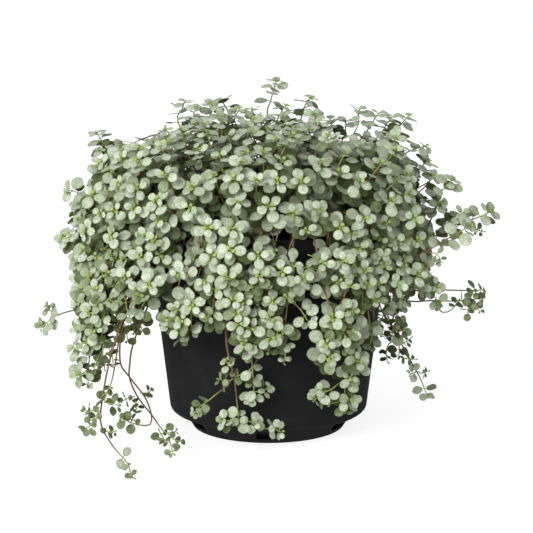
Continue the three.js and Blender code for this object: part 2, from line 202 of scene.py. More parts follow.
MOUND_TURN = 0.38  # how far a leaf turns its face to the light
TRAIL_TURN = 0.7
DARK_TURN = 0.35
LIGHT_OUT = 0.35  # where leaves find their light: outward, to the front and above
LIGHT_FRONT = 0.75
LIGHT_UP = 0.6
MIDDLE_REACH = 60.0  # nearer to the axis than this, outward counts for less
FRONT_DEPTH = 40  # the depth over which the front half passes into the back half
TOP_FROM = 110  # the height from which the mound counts as its top, and the stretch to all of it
TOP_OVER = 78
TOP_SHARE = 0.7
LEAF_SCATTER = 0.24
TURNED_OVER = -0.1  # a leaf that faces farther from its light than this grows the other way up
STEEP = 0.4  # a leaf whose way runs almost into its face is led aside
ASIDE = 0.8
LEAST_LIT = 0.35  # a leaf that faces away from its light turns at least this far to it
LOW = 14  # the height below which leaves lie flat, to keep off the floor
LOW_TURN = 0.9

# ---- The form of a leaf, as shares of its length but for its thickness ----

LEAF_THICK = 0.32
LEAF_SIDES = 14
LEAF_RING = 0.6  # where the ring of corners inside its rim lies
LEAF_WIDTH = (0.82, 1.0)
LEAF_TIP = 0.06  # how far the tip stands out from the round
CUP = (-0.02, 0.05)
BEND = (-0.04, 0.08)  # how far its tip is bent back
FOLD = (0.0, 0.07)  # how far its halves are folded up
CURL = 0.3  # how much more the leaves with the most painted shade bend and fold
WAVE = 0.025  # how far its edge waves, and in how many waves
WAVES = 3


def unit(vector):
    return vector / max(float(np.linalg.norm(vector)), 1e-9)


def polar(degrees, radius, height):
    turn = math.radians(degrees)
    return np.array([radius * math.cos(turn), radius * math.sin(turn), height])


def between(low, high, share):
    return low + (high - low) * share


# ---- The mound's outer surface ----

def dome_reach(turn):
    reach = DOME_REACH - DOME_LEFT * math.cos(turn) - DOME_FRONT * math.sin(turn)
    return reach + DOME_WIDE * math.cos(2 * turn)


def dome_end(turn):
    front = max(0.0, -math.sin(turn))
    return math.radians(DOME_END - DOME_FRONT_END * front * front)


def squared(value):
    return math.copysign(abs(value) ** DOME_POWER, value)


def dome_point(degrees, down):
    """A point of the mound, from its top at down 0 to its lower edge at down 1."""
    turn = math.radians(degrees)
    tilt = down * dome_end(turn)
    height = squared(math.cos(tilt))
    z = DOME_MIDDLE + height * (DOME_RISE if height > 0 else DOME_FALL)
    return polar(degrees, dome_reach(turn) * squared(math.sin(tilt)), z)


def dome_normal(degrees, down):
    across = dome_point(degrees + 1, down) - dome_point(degrees - 1, down)
    along = dome_point(degrees, down + 0.02) - dome_point(degrees, max(down - 0.02, 1e-4))
    return unit(np.cross(along, across))


def bunch_of(degrees, down):
    """The CAD node whose sector holds a place on the mound."""
    if down < TOP_END:
        return f"bunch_top_{int((degrees - TOP_TURN) % 360 // (360 / TOP_SECTORS)) + 1}"
    return f"bunch_side_{int(degrees % 360 // (360 / SIDE_SECTORS)) + 1}"


# ---- Curves ----

def smooth_route(points):
    """Points about ROUTE_STEP apart on a smooth curve through the given ones."""
    given = [np.array(point, float) for point in points]
    ends = [2 * given[0] - given[1], *given, 2 * given[-1] - given[-2]]
    curve = []
    for a, b, c, d in zip(ends, ends[1:], ends[2:], ends[3:]):
        for t in np.linspace(0, 1, SPAN_STEPS, endpoint=False):
            bent = 2 * a - 5 * b + 4 * c - d + t * (3 * (b - c) + d - a)
            curve.append(b + 0.5 * t * (c - a + t * bent))
    curve = np.array([*curve, given[-1]])
    walked = walk(curve)
    places = np.linspace(0, walked[-1], max(3, int(walked[-1] / ROUTE_STEP) + 1))
    return np.stack([np.interp(places, walked, curve[:, axis]) for axis in range(3)], axis=1)


def walk(curve):
    """The distance along a curve to each of its points."""
    steps = np.linalg.norm(np.diff(curve, axis=0), axis=1)
    return np.concatenate([[0.0], np.cumsum(steps)])


def measured(route):
    """A smooth curve along the route, and how far each of its points is from its end."""
    curve = smooth_route(route)
    walked = walk(curve)
    return curve, walked[-1] - walked


def point_at(curve, left, gone):
    """The curve's point that is gone away from its end."""
    return np.array([np.interp(-gone, -left, curve[:, axis]) for axis in range(3)])


def curve_frames(curve):
    """The tangent and a side direction at each point, with no twist between them."""
    tangents = np.gradient(curve, axis=0)
    tangents /= np.linalg.norm(tangents, axis=1)[:, None]
    side = np.array([0.31, 0.95, 0.1])  # no stem runs this way
    sides = []
    for tangent in tangents:
        side = unit(side - tangent * (side @ tangent))
        sides.append(side)
    return tangents, np.array(sides)


# ---- Where the pot shows between the leaves ----

# Places at the front where the pot shows: a point of it and the hole's radius.
WINDOWS = [
    ((19, -77, 132), 5.4),
    ((25, -77, 132), 5.2),
    ((19, -77, 124), 4.6),
    ((38, -77, 132), 5.0),
    ((9, -77, 132), 3.6),
    ((32, -77, 133), 4.0),
    ((15, -80, 91), 6.5),
    ((-49, -62, 127), 4.6),
    ((-45, -64, 134), 3.6),
    ((-40, -72, 113), 4.0),
    ((-54, -60, 104), 4.6),
    ((61, -52, 82), 5.5),
    ((-11, -80, 131), 2.6),
    ((47, -66, 100), 3.0),
]
WINDOW_STEMS = 0.8  # the share of a hole that stems keep out of
VIEW = np.array([0, -math.cos(math.radians(CAMERA_HEIGHT)), math.sin(math.radians(CAMERA_HEIGHT))])


def before_windows(points, share=1.0):
    """Which of the points lie before a place where the pot shows."""
    points = np.array(points)
    found = np.zeros(len(points), bool)
    for place, radius in WINDOWS:
        away = points - np.array(place, float)
        ahead = away @ VIEW
        level = np.linalg.norm(away - ahead[:, None] * VIEW, axis=1)
        found |= (level < radius * share) & (ahead > 0)
    return found


def before_window(route):
    """Whether a stem along the route would hide a place where the pot shows."""
    return before_windows(smooth_route(route), WINDOW_STEMS).any()


# ---- Growing ----

leaves = []
stems = []


def frontness(point):
    """1 on the plant's front half, down to 0 at its back."""
    return min(max(0.5 - point[1] / FRONT_DEPTH, 0), 1)


def lowness(point):
    """1 on what hangs below the rim, down to 0.3 on the mound's top."""
    return 1 - TOP_SHARE * min(max((point[2] - TOP_FROM) / TOP_OVER, 0), 1)


def light_at(point):
    """Where a leaf at point turns its face: outward, to the front and up, on top mostly up."""
    out = point * [1, 1, 0] / max(MIDDLE_REACH, math.hypot(point[0], point[1])) * LIGHT_OUT
    front = FRONT * LIGHT_FRONT * frontness(point)
    return unit((out + front) * lowness(point) + UP * LIGHT_UP)


def add_leaf(node, joint, tangent, radial, pair, size, turn, shade, rng):
    """A leaf that leaves the stem at joint along radial, its face turned part way to the light."""
    length, raised, age = pair[1] * size, math.radians(pair[2]), pair[3]
    along = radial * math.cos(raised) + tangent * math.sin(raised)
    natural = tangent * math.cos(raised) - radial * math.sin(raised)
    light = light_at(joint)
    if joint[2] < LOW:
        turn = LOW_TURN
    if natural @ light < TURNED_OVER:
        natural = -natural
    normal = unit(natural * (1 - turn) + light * turn + rng.normal(0, LEAF_SCATTER, 3))
    normal = unit(normal + light * max(0.0, LEAST_LIT - normal @ light))
    flat = along - normal * (along @ normal)
    if np.linalg.norm(flat) < STEEP:
        flat = flat + ASIDE * np.cross(normal, tangent) * rng.choice([-1, 1])
        flat = flat - normal * (flat @ normal)
    along = unit(flat)
    stalk = STALK_LEAST + STALK_SHARE * length
    leaves.append({
        "node": node,
        "joint": joint,
        "base": joint + unit(radial + along) * stalk,
        "along": along,
        "normal": normal,
        "length": length * rng.uniform(*LENGTH_SPREAD),
        "age": age,
        "shade": shade,
        "tint": rng.uniform(0, 1),
    })


def grow(node, route, rng, leafy, size=1.0, turn=MOUND_TURN, sparse=1.0, shade=0.0):
    """A stem along the route, with pairs of leaves at right angles on its last leafy stretch."""
    curve, left = measured(route)
    tangents, sides = curve_frames(curve)
    share = np.clip(left / STEM_TAPER, 0, 1) ** STEM_POWER
    stems.append({
        "node": node,
        "curve": curve,
        "radii": between(TIP_RADIUS, STEM_RADIUS, share),
        "age": np.clip(left / STEM_YOUNG, 0, 1),
        "shade": shade,
    })
    roll = rng.uniform(0, math.pi)
    gone = FIRST_PAIR
    step = 0
    while gone < min(leafy, left[0] - BARE_FOOT):
        pair = PAIRS[min(step, len(PAIRS) - 1)]
        pick = int(np.argmin(np.abs(left - gone)))
        joint = point_at(curve, left, gone)
        tangent, side = tangents[pick], sides[pick]
        other = np.cross(tangent, side)
        for sense in (1, -1):
            radial = sense * (side * math.cos(roll) + other * math.sin(roll))
            add_leaf(node, joint, tangent, radial, pair, size, turn, shade, rng)
        roll += math.pi / 2 + rng.normal(0, ROLL_SPREAD)
        gone += pair[0] * rng.uniform(*PAIR_SPREAD) * (sparse if step > 1 else 1)
        step += 1


# How high the mound shows in the photo, across it from left to right. Only few shoots reach it.
CEILING = [
    (-128, 127), (-124, 140), (-112, 149), (-107, 161), (-102, 170), (-86, 176), (-76, 180),
    (-66, 188), (-57, 196), (-42, 200), (-30, 201), (-16, 197), (0, 199), (27, 200), (36, 192),
    (44, 190), (52, 193), (72, 192), (84, 186), (94, 172), (104, 158), (114, 150), (124, 134),
]
# How far to the right the mound reaches, by height.
RIGHT_END = [(90, 97), (118, 95), (130, 93), (142, 88), (168, 82), (185, 76)]
# How far below the ceiling some shoots end, across it from left to right.
THIN_TOP = [(-128, 5), (-60, 9), (30, 10), (50, 16), (85, 18), (100, 8), (124, 5)]
THIN_POWER = 0.6
RIGHT_PULL = 0.85  # the share of what is past the right end that is taken off
SEEN_TILT = math.tan(math.radians(CAMERA_HEIGHT))


def under_ceiling(tip, rng):
    """Brings in a tip that would stand outside the photo's outline."""
    right = np.interp(tip[2], *zip(*RIGHT_END))
    tip = tip - [RIGHT_PULL * max(0.0, tip[0] - right), 0, 0]
    height = np.interp(tip[0], *zip(*CEILING))
    height -= np.interp(tip[0], *zip(*THIN_TOP)) * rng.random() ** THIN_POWER
    return tip - UP * max(0.0, tip[2] + tip[1] * SEEN_TILT - height)


def mound_route(degrees, down, lift, rng):
    """From the soil, up through the mound and over the rim where the tip is low."""
    normal = dome_normal(degrees, down)
    tip = under_ceiling(dome_point(degrees, down) + normal * lift, rng)
    lean = UP * SHOOT_LEAN + FRONT * SHOOT_FRONT * frontness(tip) * lowness(tip)
    facing = unit(normal + lean + rng.normal(0, SHOOT_SCATTER, 3))
    before = tip - facing * SHOOT_TIP
    aside = degrees + rng.normal(0, ROOT_SPREAD)
    root = polar(aside, rng.uniform(*ROOT_RING), SOIL_TOP - ROOT_DEPTH)
    reach = math.hypot(before[0], before[1])
    inner_height = max(RIM_CLEAR, between(SOIL_TOP, before[2], 0.5))
    points = [root, polar(degrees, min(INSIDE_SHARE * reach, INSIDE_MOST), inner_height)]
    if before[2] < RIM_CLEAR + 4:
        points.append(polar(degrees, RIM_RIDE, RIM_CLEAR + 2))
    return [*points, before, tip]


def lump_at(point):
    """Crossed waves that say how far the mound stands out: -1 in a gap between clumps, up to 1."""
    x, y, z = point / LUMP_SIZE
    waves = math.sin(x + 1.7 * math.sin(z)) + math.sin(y + 1.3 * math.sin(x))
    return (waves + math.sin(z + 1.5 * math.sin(y))) / 3


def grow_mound(rng):
    """Shoots spread over the whole mound at random, but never close to each other."""
    tips = np.empty((0, 3))
    for _ in range(SHOOT_TRIES):
        degrees, down = rng.uniform(0, 360), rng.uniform(0, 1) ** SHOOT_DOWN
        point = dome_point(degrees, down)
        lump = lump_at(point)
        gap = SHOOT_GAP + TOP_GAP * (1 - lowness(point))
        near = len(tips) and np.min(np.linalg.norm(tips - point, axis=1)) < gap
        if near or lump < LUMP_GAP:
            continue
        tips = np.vstack([tips, point])
        lift = rng.uniform(*SHOOT_LIFTS) + LUMP_LIFT * lump
        route = mound_route(degrees, down, lift, rng)
        if before_window(route[2:]):
            continue
        grow(bunch_of(degrees, down), route, rng, SHOOT_LEAFY, size=rng.uniform(*SHOOT_SIZES))


# Shoots that stand out of the mound: the place they come from, their leafy length and their points.
SPRIGS = [
    (186, 0.12, 18, [(-55, 0, 188), (-54, 0, 200), (-52, -2, 206)]),
    (200, 0.10, 10, [(-45, 0, 190), (-44, 0, 198), (-44, -2, 201)]),
    (220, 0.08, 10, [(-35, 0, 190), (-34, 0, 199), (-36, -1, 203)]),
    (250, 0.06, 20, [(-24, 0, 194), (-27, 0, 202), (-31, -2, 207)]),
    (255, 0.05, 8, [(-20, 0, 188), (-19, 0, 196), (-18, 0, 199)]),
    (260, 0.04, 10, [(-10, 0, 188), (-10, 0, 196), (-10, -2, 201)]),
    (270, 0.04, 20, [(-1, 0, 193), (1, 0, 203), (3, 0, 211), (5, -2, 218)]),
    (275, 0.04, 8, [(5, 0, 188), (8, 0, 197), (11, 0, 201)]),
    (280, 0.06, 18, [(19, 0, 190), (22, 0, 200), (24, 0, 205), (27, -2, 208)]),
    (290, 0.08, 7, [(28, 0, 182), (29, 0, 191), (28, -3, 196)]),
    (0, 0.10, 10, [(37, 0, 182), (39, 0, 190), (38, -1, 194)]),
    (0, 0.14, 9, [(46, 0, 180), (48, 0, 188), (48, -2, 193)]),
    (0, 0.16, 10, [(53, 0, 184), (55, 0, 194), (56, -2, 199)]),
    (0, 0.20, 14, [(60, 0, 184), (65, 0, 192), (69, -2, 198)]),
    (0, 0.24, 14, [(68, 0, 182), (74, 0, 191), (77, -2, 195)]),
    (0, 0.27, 16, [(72, 0, 177), (80, 0, 187), (87, -3, 196)]),
    (356, 0.30, 14, [(72, -4, 171), (78, -4, 181), (82, -5, 185)]),
    (354, 0.36, 18, [(78, -4, 167), (88, -5, 174), (98, -6, 177)]),
    (352, 0.46, 16, [(83, -6, 152), (93, -6, 162), (99, -8, 169)]),
    (350, 0.50, 12, [(80, -10, 153), (85, -12, 163), (88, -14, 168)]),
    (350, 0.54, 8, [(82, -12, 150), (86, -14, 157), (88, -16, 161)]),
    (348, 0.60, 22, [(81, -14, 143), (90, -12, 150), (98, -12, 155), (103, -14, 159)]),
    (344, 0.62, 14, [(81, -24, 137), (90, -24, 143), (97, -24, 147)]),
    (344, 0.66, 24, [(87, -26, 118), (98, -24, 130), (103, -24, 143), (106, -26, 152),
        (113, -28, 160)]),
    (346, 0.72, 46, [(84, -30, 123), (96, -24, 124), (103, -20, 123), (110, -20, 125),
        (116, -22, 131), (129, -22, 135), (138, -24, 140)]),
    (338, 0.74, 34, [(80, -50, 113), (94, -46, 118), (102, -46, 122), (108, -46, 126),
        (118, -46, 132), (123, -46, 135)]),
    (186, 0.40, 22, [(-92, -10, 168), (-99, -12, 176), (-104, -12, 183), (-106, -12, 187)]),
    (192, 0.42, 12, [(-94, -14, 166), (-100, -15, 174), (-104, -16, 178)]),
    (200, 0.34, 26, [(-60, -5, 183), (-70, -6, 184), (-82, -8, 180), (-91, -10, 175)]),
    (200, 0.54, 14, [(-108, -24, 145), (-117, -24, 151), (-125, -24, 153)]),
    (204, 0.66, 9, [(-110, -30, 118), (-120, -32, 124), (-127, -34, 125)]),
    (60, 0.70, 40, [(48, 84, 146), (62, 100, 160)]),
]
SPRIG_RISE = 2.0  # what is added to their heights
SPRIG_INSIDE = 22  # up to this far inside the mound they go the way of its own shoots
SPRIG_SIZE = 1.0
SPRIG_TURN = 0.75
SPRIG_SPARSE = 0.9
TALLEST = 6  # the place in the list of the tallest one, which stands in the middle
SPRIG_DEPTH = 16  # the others up to SPRIG_MIDDLE stand nearer or farther off by up to this much
SPRIG_MIDDLE = 70
SPRIG_WAVE = 2.4  # radians from one to the next
# Side shoots that start on a longer stem, by node: their leafy length, the size of their leaves, how
# much painted shade these get, and their points.
TWIGS = {
    "bunch_side_10": [
        (9, 0.75, 0.1, [(116, -22, 131), (118, -27, 137), (119, -31, 142)]),
        (7, 0.9, 0.3, [(109, -20, 125), (110, -25, 131), (110, -28, 135)]),
        (8, 0.5, 0.5, [(122, -22, 132), (127, -22, 130), (133, -23, 128)]),
        (8, 0.6, 0.3, [(98, -46, 120), (103, -47, 119), (105, -48, 114)]),
        (8, 0.85, 0.2, [(101, -24, 138), (104, -27, 146), (106, -30, 149)]),
        (7, 0.8, 0.1, [(93, -12, 151), (99, -13, 157), (101, -15, 163)]),
    ],
    "bunch_side_9": [
        (10, 0.85, 0.0, [(44, -62, 148), (52, -74, 150), (57, -84, 148)]),
        (10, 0.85, 0.1, [(40, -66, 142), (46, -77, 143), (49, -87, 140)]),
    ],
    "trail_right_out": [
        (6, 0.6, 0.5, [(125, -20, 84), (126, -22, 88), (127, -24, 91)]),
        (7, 0.7, 0.6, [(125, -20, 84), (125, -23, 80), (123, -25, 76)]),
        (7, 0.65, 0.5, [(126, -20, 84), (129, -23, 81), (131, -25, 78)]),
        (6, 0.7, 0.5, [(102, -24, 85), (105, -23, 80), (109, -23, 77), (114, -22, 79),
            (118, -20, 84)]),
    ],
    "trail_right_1": [
        (9, 0.85, 0.0, [(84, -40, 101), (90, -41, 98), (97, -44, 96)]),
        (9, 0.85, 0.0, [(94, -40, 98), (99, -42, 97), (103, -45, 99)]),
        (8, 0.85, 0.3, [(96, -40, 94), (102, -40, 91), (104, -42, 87)]),
        (8, 0.7, 0.2, [(76, -42, 89), (81, -42, 87), (85, -44, 89)]),
        (7, 0.8, 0.2, [(72, -40, 91), (75, -42, 87), (77, -44, 84)]),
    ],
    "trail_right_low": [
        (7, 0.65, 0.95, [(77, -28, 70), (77, -30, 66), (75, -32, 62)]),
        (6, 0.9, 0.3, [(79, -28, 65), (81, -31, 67), (84, -33, 69)]),
        (7, 0.45, 0.8, [(80, -28, 60), (84, -29, 59), (89, -30, 63)]),
        (10, 0.55, 0.9, [(77, -28, 60), (74, -30, 58), (73, -31, 53), (74, -31, 47)]),
        (8, 0.45, 0.8, [(81, -27, 50), (86, -29, 49), (92, -30, 49)]),
        (6, 0.65, 0.3, [(94, -26, 40), (91, -28, 40), (88, -29, 39)]),
        (6, 0.4, 0.6, [(94, -26, 39), (97, -28, 40), (100, -28, 41)]),
    ],
    "trail_left_out": [
        (8, 0.65, 0.3, [(-130, -29, 77), (-135, -30, 80), (-137, -31, 83)]),
    ],
    "trail_left_1": [
        (7, 0.7, 0.2, [(-110, -58, 61), (-115, -60, 61), (-119, -61, 65)]),
    ],
    "trail_left_2": [
        (8, 0.7, 0.7, [(-101, -70, 64), (-104, -72, 58), (-106, -72, 52)]),
        (7, 0.6, 0.8, [(-98, -72, 64), (-99, -73, 58), (-99, -73, 53)]),
        (7, 0.6, 0.8, [(-95, -70, 66), (-94, -72, 59), (-94, -72, 54)]),
    ],
    "trail_left_long": [
        (8, 0.6, 0.55, [(-101, -96, 36), (-106, -98, 34), (-111, -99, 35)]),
        (9, 0.65, 0.5, [(-101, -97, 32), (-105, -99, 27), (-110, -100, 23)]),
        (7, 0.6, 0.5, [(-101, -97, 34), (-104, -99, 30), (-107, -101, 29)]),
        (7, 0.5, 0.7, [(-100, -99, 24), (-96, -101, 22), (-91, -102, 23)]),
        (7, 0.45, 0.8, [(-99, -96, 43), (-96, -97, 46), (-94, -97, 50)]),
        (8, 0.8, 0.5, [(-98, -96, 39), (-94, -98, 39), (-89, -99, 38)]),
        (7, 0.45, 0.8, [(-78, -101, 26), (-80, -102, 30), (-84, -103, 31)]),
        (5, 0.45, 0.6, [(-83, -118, 8), (-81, -126, 4), (-79, -132, 2.6)]),
    ],
    "trail_left_3": [
        (8, 0.6, 0.85, [(-80, -93, 42), (-84, -94, 41), (-88, -94, 39)]),
        (6, 0.5, 0.8, [(-77, -93, 44), (-73, -93, 44), (-69, -93, 46)]),
        (6, 0.6, 0.9, [(-80, -93, 41), (-79, -94, 36), (-79, -95, 33)]),
        (8, 0.65, 0.7, [(-66, -96, 23), (-63, -99, 18), (-61, -101, 16)]),
        (8, 0.65, 0.8, [(-60, -97, 20), (-56, -100, 17), (-51, -101, 16)]),
        (7, 0.6, 0.5, [(-60, -98, 18), (-58, -101, 13), (-57, -103, 9)]),
    ],
    "trail_front_1": [
        (9, 0.7, 0.45, [(-20, -80, 50), (-25, -80, 48), (-30, -82, 50)]),
        (7, 0.5, 0.1, [(-22, -80, 56), (-24, -81, 58), (-26, -82, 63)]),
        (9, 0.75, 0.05, [(-18, -74, 22), (-23, -75, 22), (-29, -78, 23)]),
        (9, 0.8, 0.05, [(-18, -74, 22), (-12, -76, 22), (-8, -77, 20)]),
        (12, 0.65, 0.05, [(-8, -76, 18), (-2, -75, 17), (3, -75, 17), (8, -76, 15)]),
        (8, 0.45, 0.2, [(-40, -77, 31), (-43, -78, 29), (-47, -79, 27)]),
    ],
    "trail_front_2": [
        (10, 0.75, 0.0, [(-9, -79, 46), (-9, -78, 41), (-10, -80, 35)]),
        (6, 0.65, 0.2, [(-9, -78, 41), (-5, -78, 41), (0, -79, 44)]),
    ],
    "trail_front_3": [
        (7, 0.45, 0.0, [(10, -88, 72), (10, -86, 66), (9, -85, 60)]),
        (6, 0.8, 0.1, [(13, -90, 122), (14, -94, 124), (14, -97, 123)]),
        (6, 0.85, 0.0, [(12, -91, 108), (11, -94, 108), (10, -97, 107)]),
        (6, 0.85, 0.0, [(11, -91, 103), (14, -94, 101), (16, -97, 100)]),
    ],
    "trail_front_4": [
        (8, 0.85, 0.0, [(31, -88, 119), (32, -93, 122), (32, -98, 125)]),
        (7, 0.8, 0.3, [(30, -88, 124), (26, -90, 127), (23, -91, 128)]),
        (7, 0.85, 0.2, [(31, -89, 118), (26, -92, 120), (21, -94, 121)]),
        (7, 0.85, 0.0, [(32, -89, 113), (27, -93, 112), (23, -97, 113)]),
        (12, 0.75, 0.0, [(43, -75, 46), (37, -75, 41), (30, -76, 40)]),
        (8, 0.7, 0.0, [(36, -75, 41), (31, -76, 38), (27, -77, 35)]),
        (9, 0.7, 0.1, [(46, -71, 34), (42, -72, 33), (37, -73, 32)]),
        (9, 0.85, 0.1, [(50, -78, 66), (53, -77, 58), (53, -77, 52)]),
    ],
}


def grow_sprigs(rng):
    """Single shoots that stand out of the mound where the photo shows them."""
    for count, (degrees, down, leafy, points) in enumerate(SPRIGS):
        start = mound_route(degrees, down, -SPRIG_INSIDE, rng)[:-2]
        on_top = abs(points[-1][0]) < SPRIG_MIDDLE
        depth = SPRIG_DEPTH * math.sin(SPRIG_WAVE * (count - TALLEST)) if on_top else 0
        shift = UP * SPRIG_RISE + VIEW * depth
        route = [*start, *[np.array(point, float) + shift for point in points]]
        node = bunch_of(degrees, down)
        grow(node, route, rng, leafy, size=SPRIG_SIZE, turn=SPRIG_TURN, sparse=SPRIG_SPARSE)


def grow_twigs(rng):
    """Twigs with more painted shade have smaller leaves, which turn less to the light."""
    for node, rows in TWIGS.items():
        for leafy, size, shade, points in rows:
            turn = between(TRAIL_TURN, DARK_TURN, shade)
            size = size * between(*TWIG_SIZES, shade)
            sparse = TWIG_SPARSE * size
            grow(node, points, rng, leafy, size=size, turn=turn, sparse=sparse, shade=shade)


# The routes of the stems that trail over the rim, by node: the angle at which the stem is rooted, its
# leafy length from the tip, how much painted shade its leaves get, and its points after the rim. The
# first one of a node follows its CAD route. The others lie beside it.
STRANDS = {
    "trail_left_out": [
        (187, 15, 0.15, [(-104, -18, 85), (-117, -24, 80), (-127, -28, 78), (-134, -30, 75),
            (-141, -32, 69)]),
        (184, 60, 0, [(-103, -12, 108), (-107, -18, 92), (-107, -24, 78)]),
        (190, 60, 0, [(-104, -20, 112), (-109, -30, 96), (-109, -36, 82)]),
    ],
    "trail_left_1": [
        (199, 90, 0, [(-104, -44, 110), (-106, -54, 80), (-109, -60, 58), (-110, -62, 41)]),
        (203, 90, 0, [(-102, -48, 116), (-104, -54, 98), (-105, -60, 82), (-107, -63, 69)]),
        (201, 90, 0, [(-106, -44, 116), (-108, -50, 98), (-109, -56, 80), (-109, -60, 66)]),
        (205, 90, 0, [(-95, -56, 116), (-97, -62, 98), (-100, -66, 82), (-101, -68, 68)]),
        (195, 90, 0, [(-106, -32, 114), (-110, -42, 100), (-110, -48, 88)]),
    ],
    "trail_left_2": [
        (211, 30, 0.7, [(-96, -62, 90), (-99, -70, 72), (-101, -75, 58)]),
        (208, 60, 0, [(-99, -56, 108), (-103, -66, 92), (-104, -72, 78)]),
        (213, 34, 0.9, [(-91, -66, 94), (-91, -68, 82), (-92, -68, 72)]),
        (210, 60, 0.1, [(-96, -60, 110), (-99, -68, 98), (-96, -74, 86)]),
        (214, 30, 0.9, [(-88, -68, 92), (-86, -69, 78), (-85, -69, 70)]),
    ],
    "trail_left_long": [
        (221, 8, 0.3, [(-84, -74, 92), (-94, -86, 66), (-99, -94, 42), (-100, -97, 26),
            (-93, -107, 16), (-83, -119, 8)]),
        (218, 8, 0.6, [(-86, -74, 88), (-89, -86, 63), (-83, -90, 53), (-74, -94, 42),
            (-70, -97, 32), (-71, -99, 26), (-79, -101, 27), (-87, -104, 31)]),
        (223, 50, 0.3, [(-84, -76, 106), (-85, -82, 96), (-83, -84, 88)]),
        (220, 8, 0.8, [(-86, -74, 90), (-92, -86, 59), (-94, -90, 50), (-98, -95, 40)]),
    ],
    "trail_left_3": [
        (230, 9, 0.6, [(-72, -76, 94), (-81, -84, 72), (-83, -88, 60), (-83, -90, 52),
            (-78, -92, 41), (-70, -94, 31), (-62, -97, 21), (-55, -99, 22)]),
        (232, 40, 0.1, [(-68, -80, 110), (-72, -84, 102), (-78, -84, 90)]),
        (228, 36, 0.9, [(-80, -72, 102), (-79, -70, 88), (-76, -69, 76)]),
        (226, 36, 0.9, [(-84, -70, 102), (-84, -69, 86), (-81, -68, 75)]),
    ],
    "trail_front_left": [
        (241, 74, 0, [(-48, -84, 104), (-52, -84, 90), (-52, -82, 74)]),
        (238, 70, 0, [(-54, -84, 106), (-57, -84, 94), (-60, -82, 82)]),
        (244, 60, 0, [(-43, -88, 108), (-46, -88, 94), (-46, -84, 80)]),
    ],
    "trail_front_1": [
        (253, 9, 0.05, [(-25, -93, 106), (-25, -90, 84), (-24, -84, 65), (-21, -79, 52),
            (-19, -75, 32), (-18, -75, 19)]),
        (250, 8, 0.35, [(-26, -92, 104), (-25, -88, 72), (-22, -80, 50), (-33, -77, 38),
            (-42, -77, 31)]),
        (247, 60, 0, [(-32, -94, 106), (-33, -92, 94), (-31, -88, 84)]),
    ],
    "trail_front_2": [
        (264, 16, 0, [(-5, -95, 106), (-9, -91, 84), (-10, -85, 62), (-9, -79, 46)]),
        (262, 8, 0.7, [(-8, -94, 100), (-2, -90, 76), (-6, -86, 64), (-12, -82, 55),
            (-20, -81, 51)]),
        (266, 70, 0, [(0, -96, 102), (1, -91, 86), (0, -87, 68)]),
        (259, 60, 0, [(-18, -96, 102), (-17, -92, 86), (-12, -88, 76)]),
    ],
    "trail_front_3": [
        (281, 40, 0, [(14, -88, 128), (12, -91, 114), (11, -92, 100), (10, -89, 84),
            (10, -88, 72)]),
        (270, 60, 0, [(4, -96, 106), (6, -92, 90), (6, -88, 76)]),
        (272, 50, 0, [(8, -95, 106), (18, -92, 96), (24, -88, 86)]),
    ],
    "trail_front_4": [
        (288, 60, 0, [(29, -88, 128), (32, -89, 114), (35, -89, 100), (44, -84, 84), (50, -79, 66),
            (47, -73, 48), (46, -70, 34), (47, -70, 27)]),
        (306, 50, 0, [(46, -86, 104), (38, -86, 88), (33, -84, 70), (34, -80, 56)]),
        (303, 50, 0, [(46, -88, 108), (44, -85, 93), (46, -82, 78), (46, -81, 68)]),
    ],
    "trail_front_right": [
        (310, 50, 0, [(58, -78, 104), (60, -70, 88), (62, -60, 74)]),
        (313, 30, 0.4, [(62, -68, 96), (64, -56, 78), (62, -48, 62)]),
        (308, 50, 0, [(56, -80, 106), (56, -76, 94), (54, -74, 84)]),
    ],
    "trail_right_1": [
        (321, 9, 0.6, [(72, -56, 98), (77, -54, 86), (79, -50, 77)]),
        (318, 12, 0.2, [(66, -60, 98), (68, -56, 92), (76, -54, 90), (83, -54, 92)]),
        (326, 40, 0, [(82, -46, 112), (92, -46, 104), (98, -46, 98)]),
    ],
    "trail_right_low": [
        (334, 9, 0.3, [(74, -34, 94), (72, -31, 86), (74, -29, 76), (80, -28, 63), (87, -27, 50),
            (94, -26, 37), (97, -27, 30), (99, -29, 25)]),
        (331, 7, 0.9, [(68, -36, 94), (70, -30, 80), (77, -28, 68), (81, -27, 58), (81, -27, 50)]),
    ],
    "trail_right_out": [
        (349, 8, 0.45, [(84, -26, 96), (92, -23, 91), (109, -21, 91), (124, -18, 90),
            (134, -16, 90)]),
        (346, 14, 0.45, [(82, -28, 90), (89, -26, 85), (101, -24, 85), (114, -21, 84),
            (125, -19, 84)]),
        (343, 30, 0, [(86, -36, 112), (92, -40, 106), (97, -42, 100)]),
    ],
    "trail_back_right": [
        (22, 76, 0, [(84, 36, 86), (82, 42, 64), (77, 46, 44)]),
        (26, 66, 0, [(80, 42, 94), (78, 48, 74), (74, 50, 56)]),
    ],
    "trail_back_1": [
        (68, 76, 0, [(38, 84, 84), (54, 88, 62), (48, 90, 36)]),
        (64, 66, 0, [(44, 84, 98), (50, 86, 78), (58, 84, 62)]),
    ],
    "trail_back_2": [
        (100, 76, 0, [(-12, 92, 86), (-8, 98, 66), (-6, 94, 44)]),
        (104, 66, 0, [(-22, 90, 98), (-24, 94, 80), (-20, 92, 62)]),
    ],
    "trail_back_left": [
        (131, 76, 0, [(-62, 70, 84), (-65, 80, 58), (-60, 84, 30)]),
        (134, 66, 0, [(-68, 66, 98), (-71, 72, 80), (-66, 78, 64)]),
    ],
    "trail_left_back": [
        (163, 76, 0, [(-98, 28, 84), (-106, 32, 60), (-102, 34, 36)]),
        (166, 66, 0, [(-104, 24, 98), (-112, 24, 78), (-112, 28, 58)]),
        (172, 70, 0, [(-104, 10, 100), (-110, 8, 86), (-110, 8, 74)]),
    ],
}
STRAND_SPARSE = 1.1
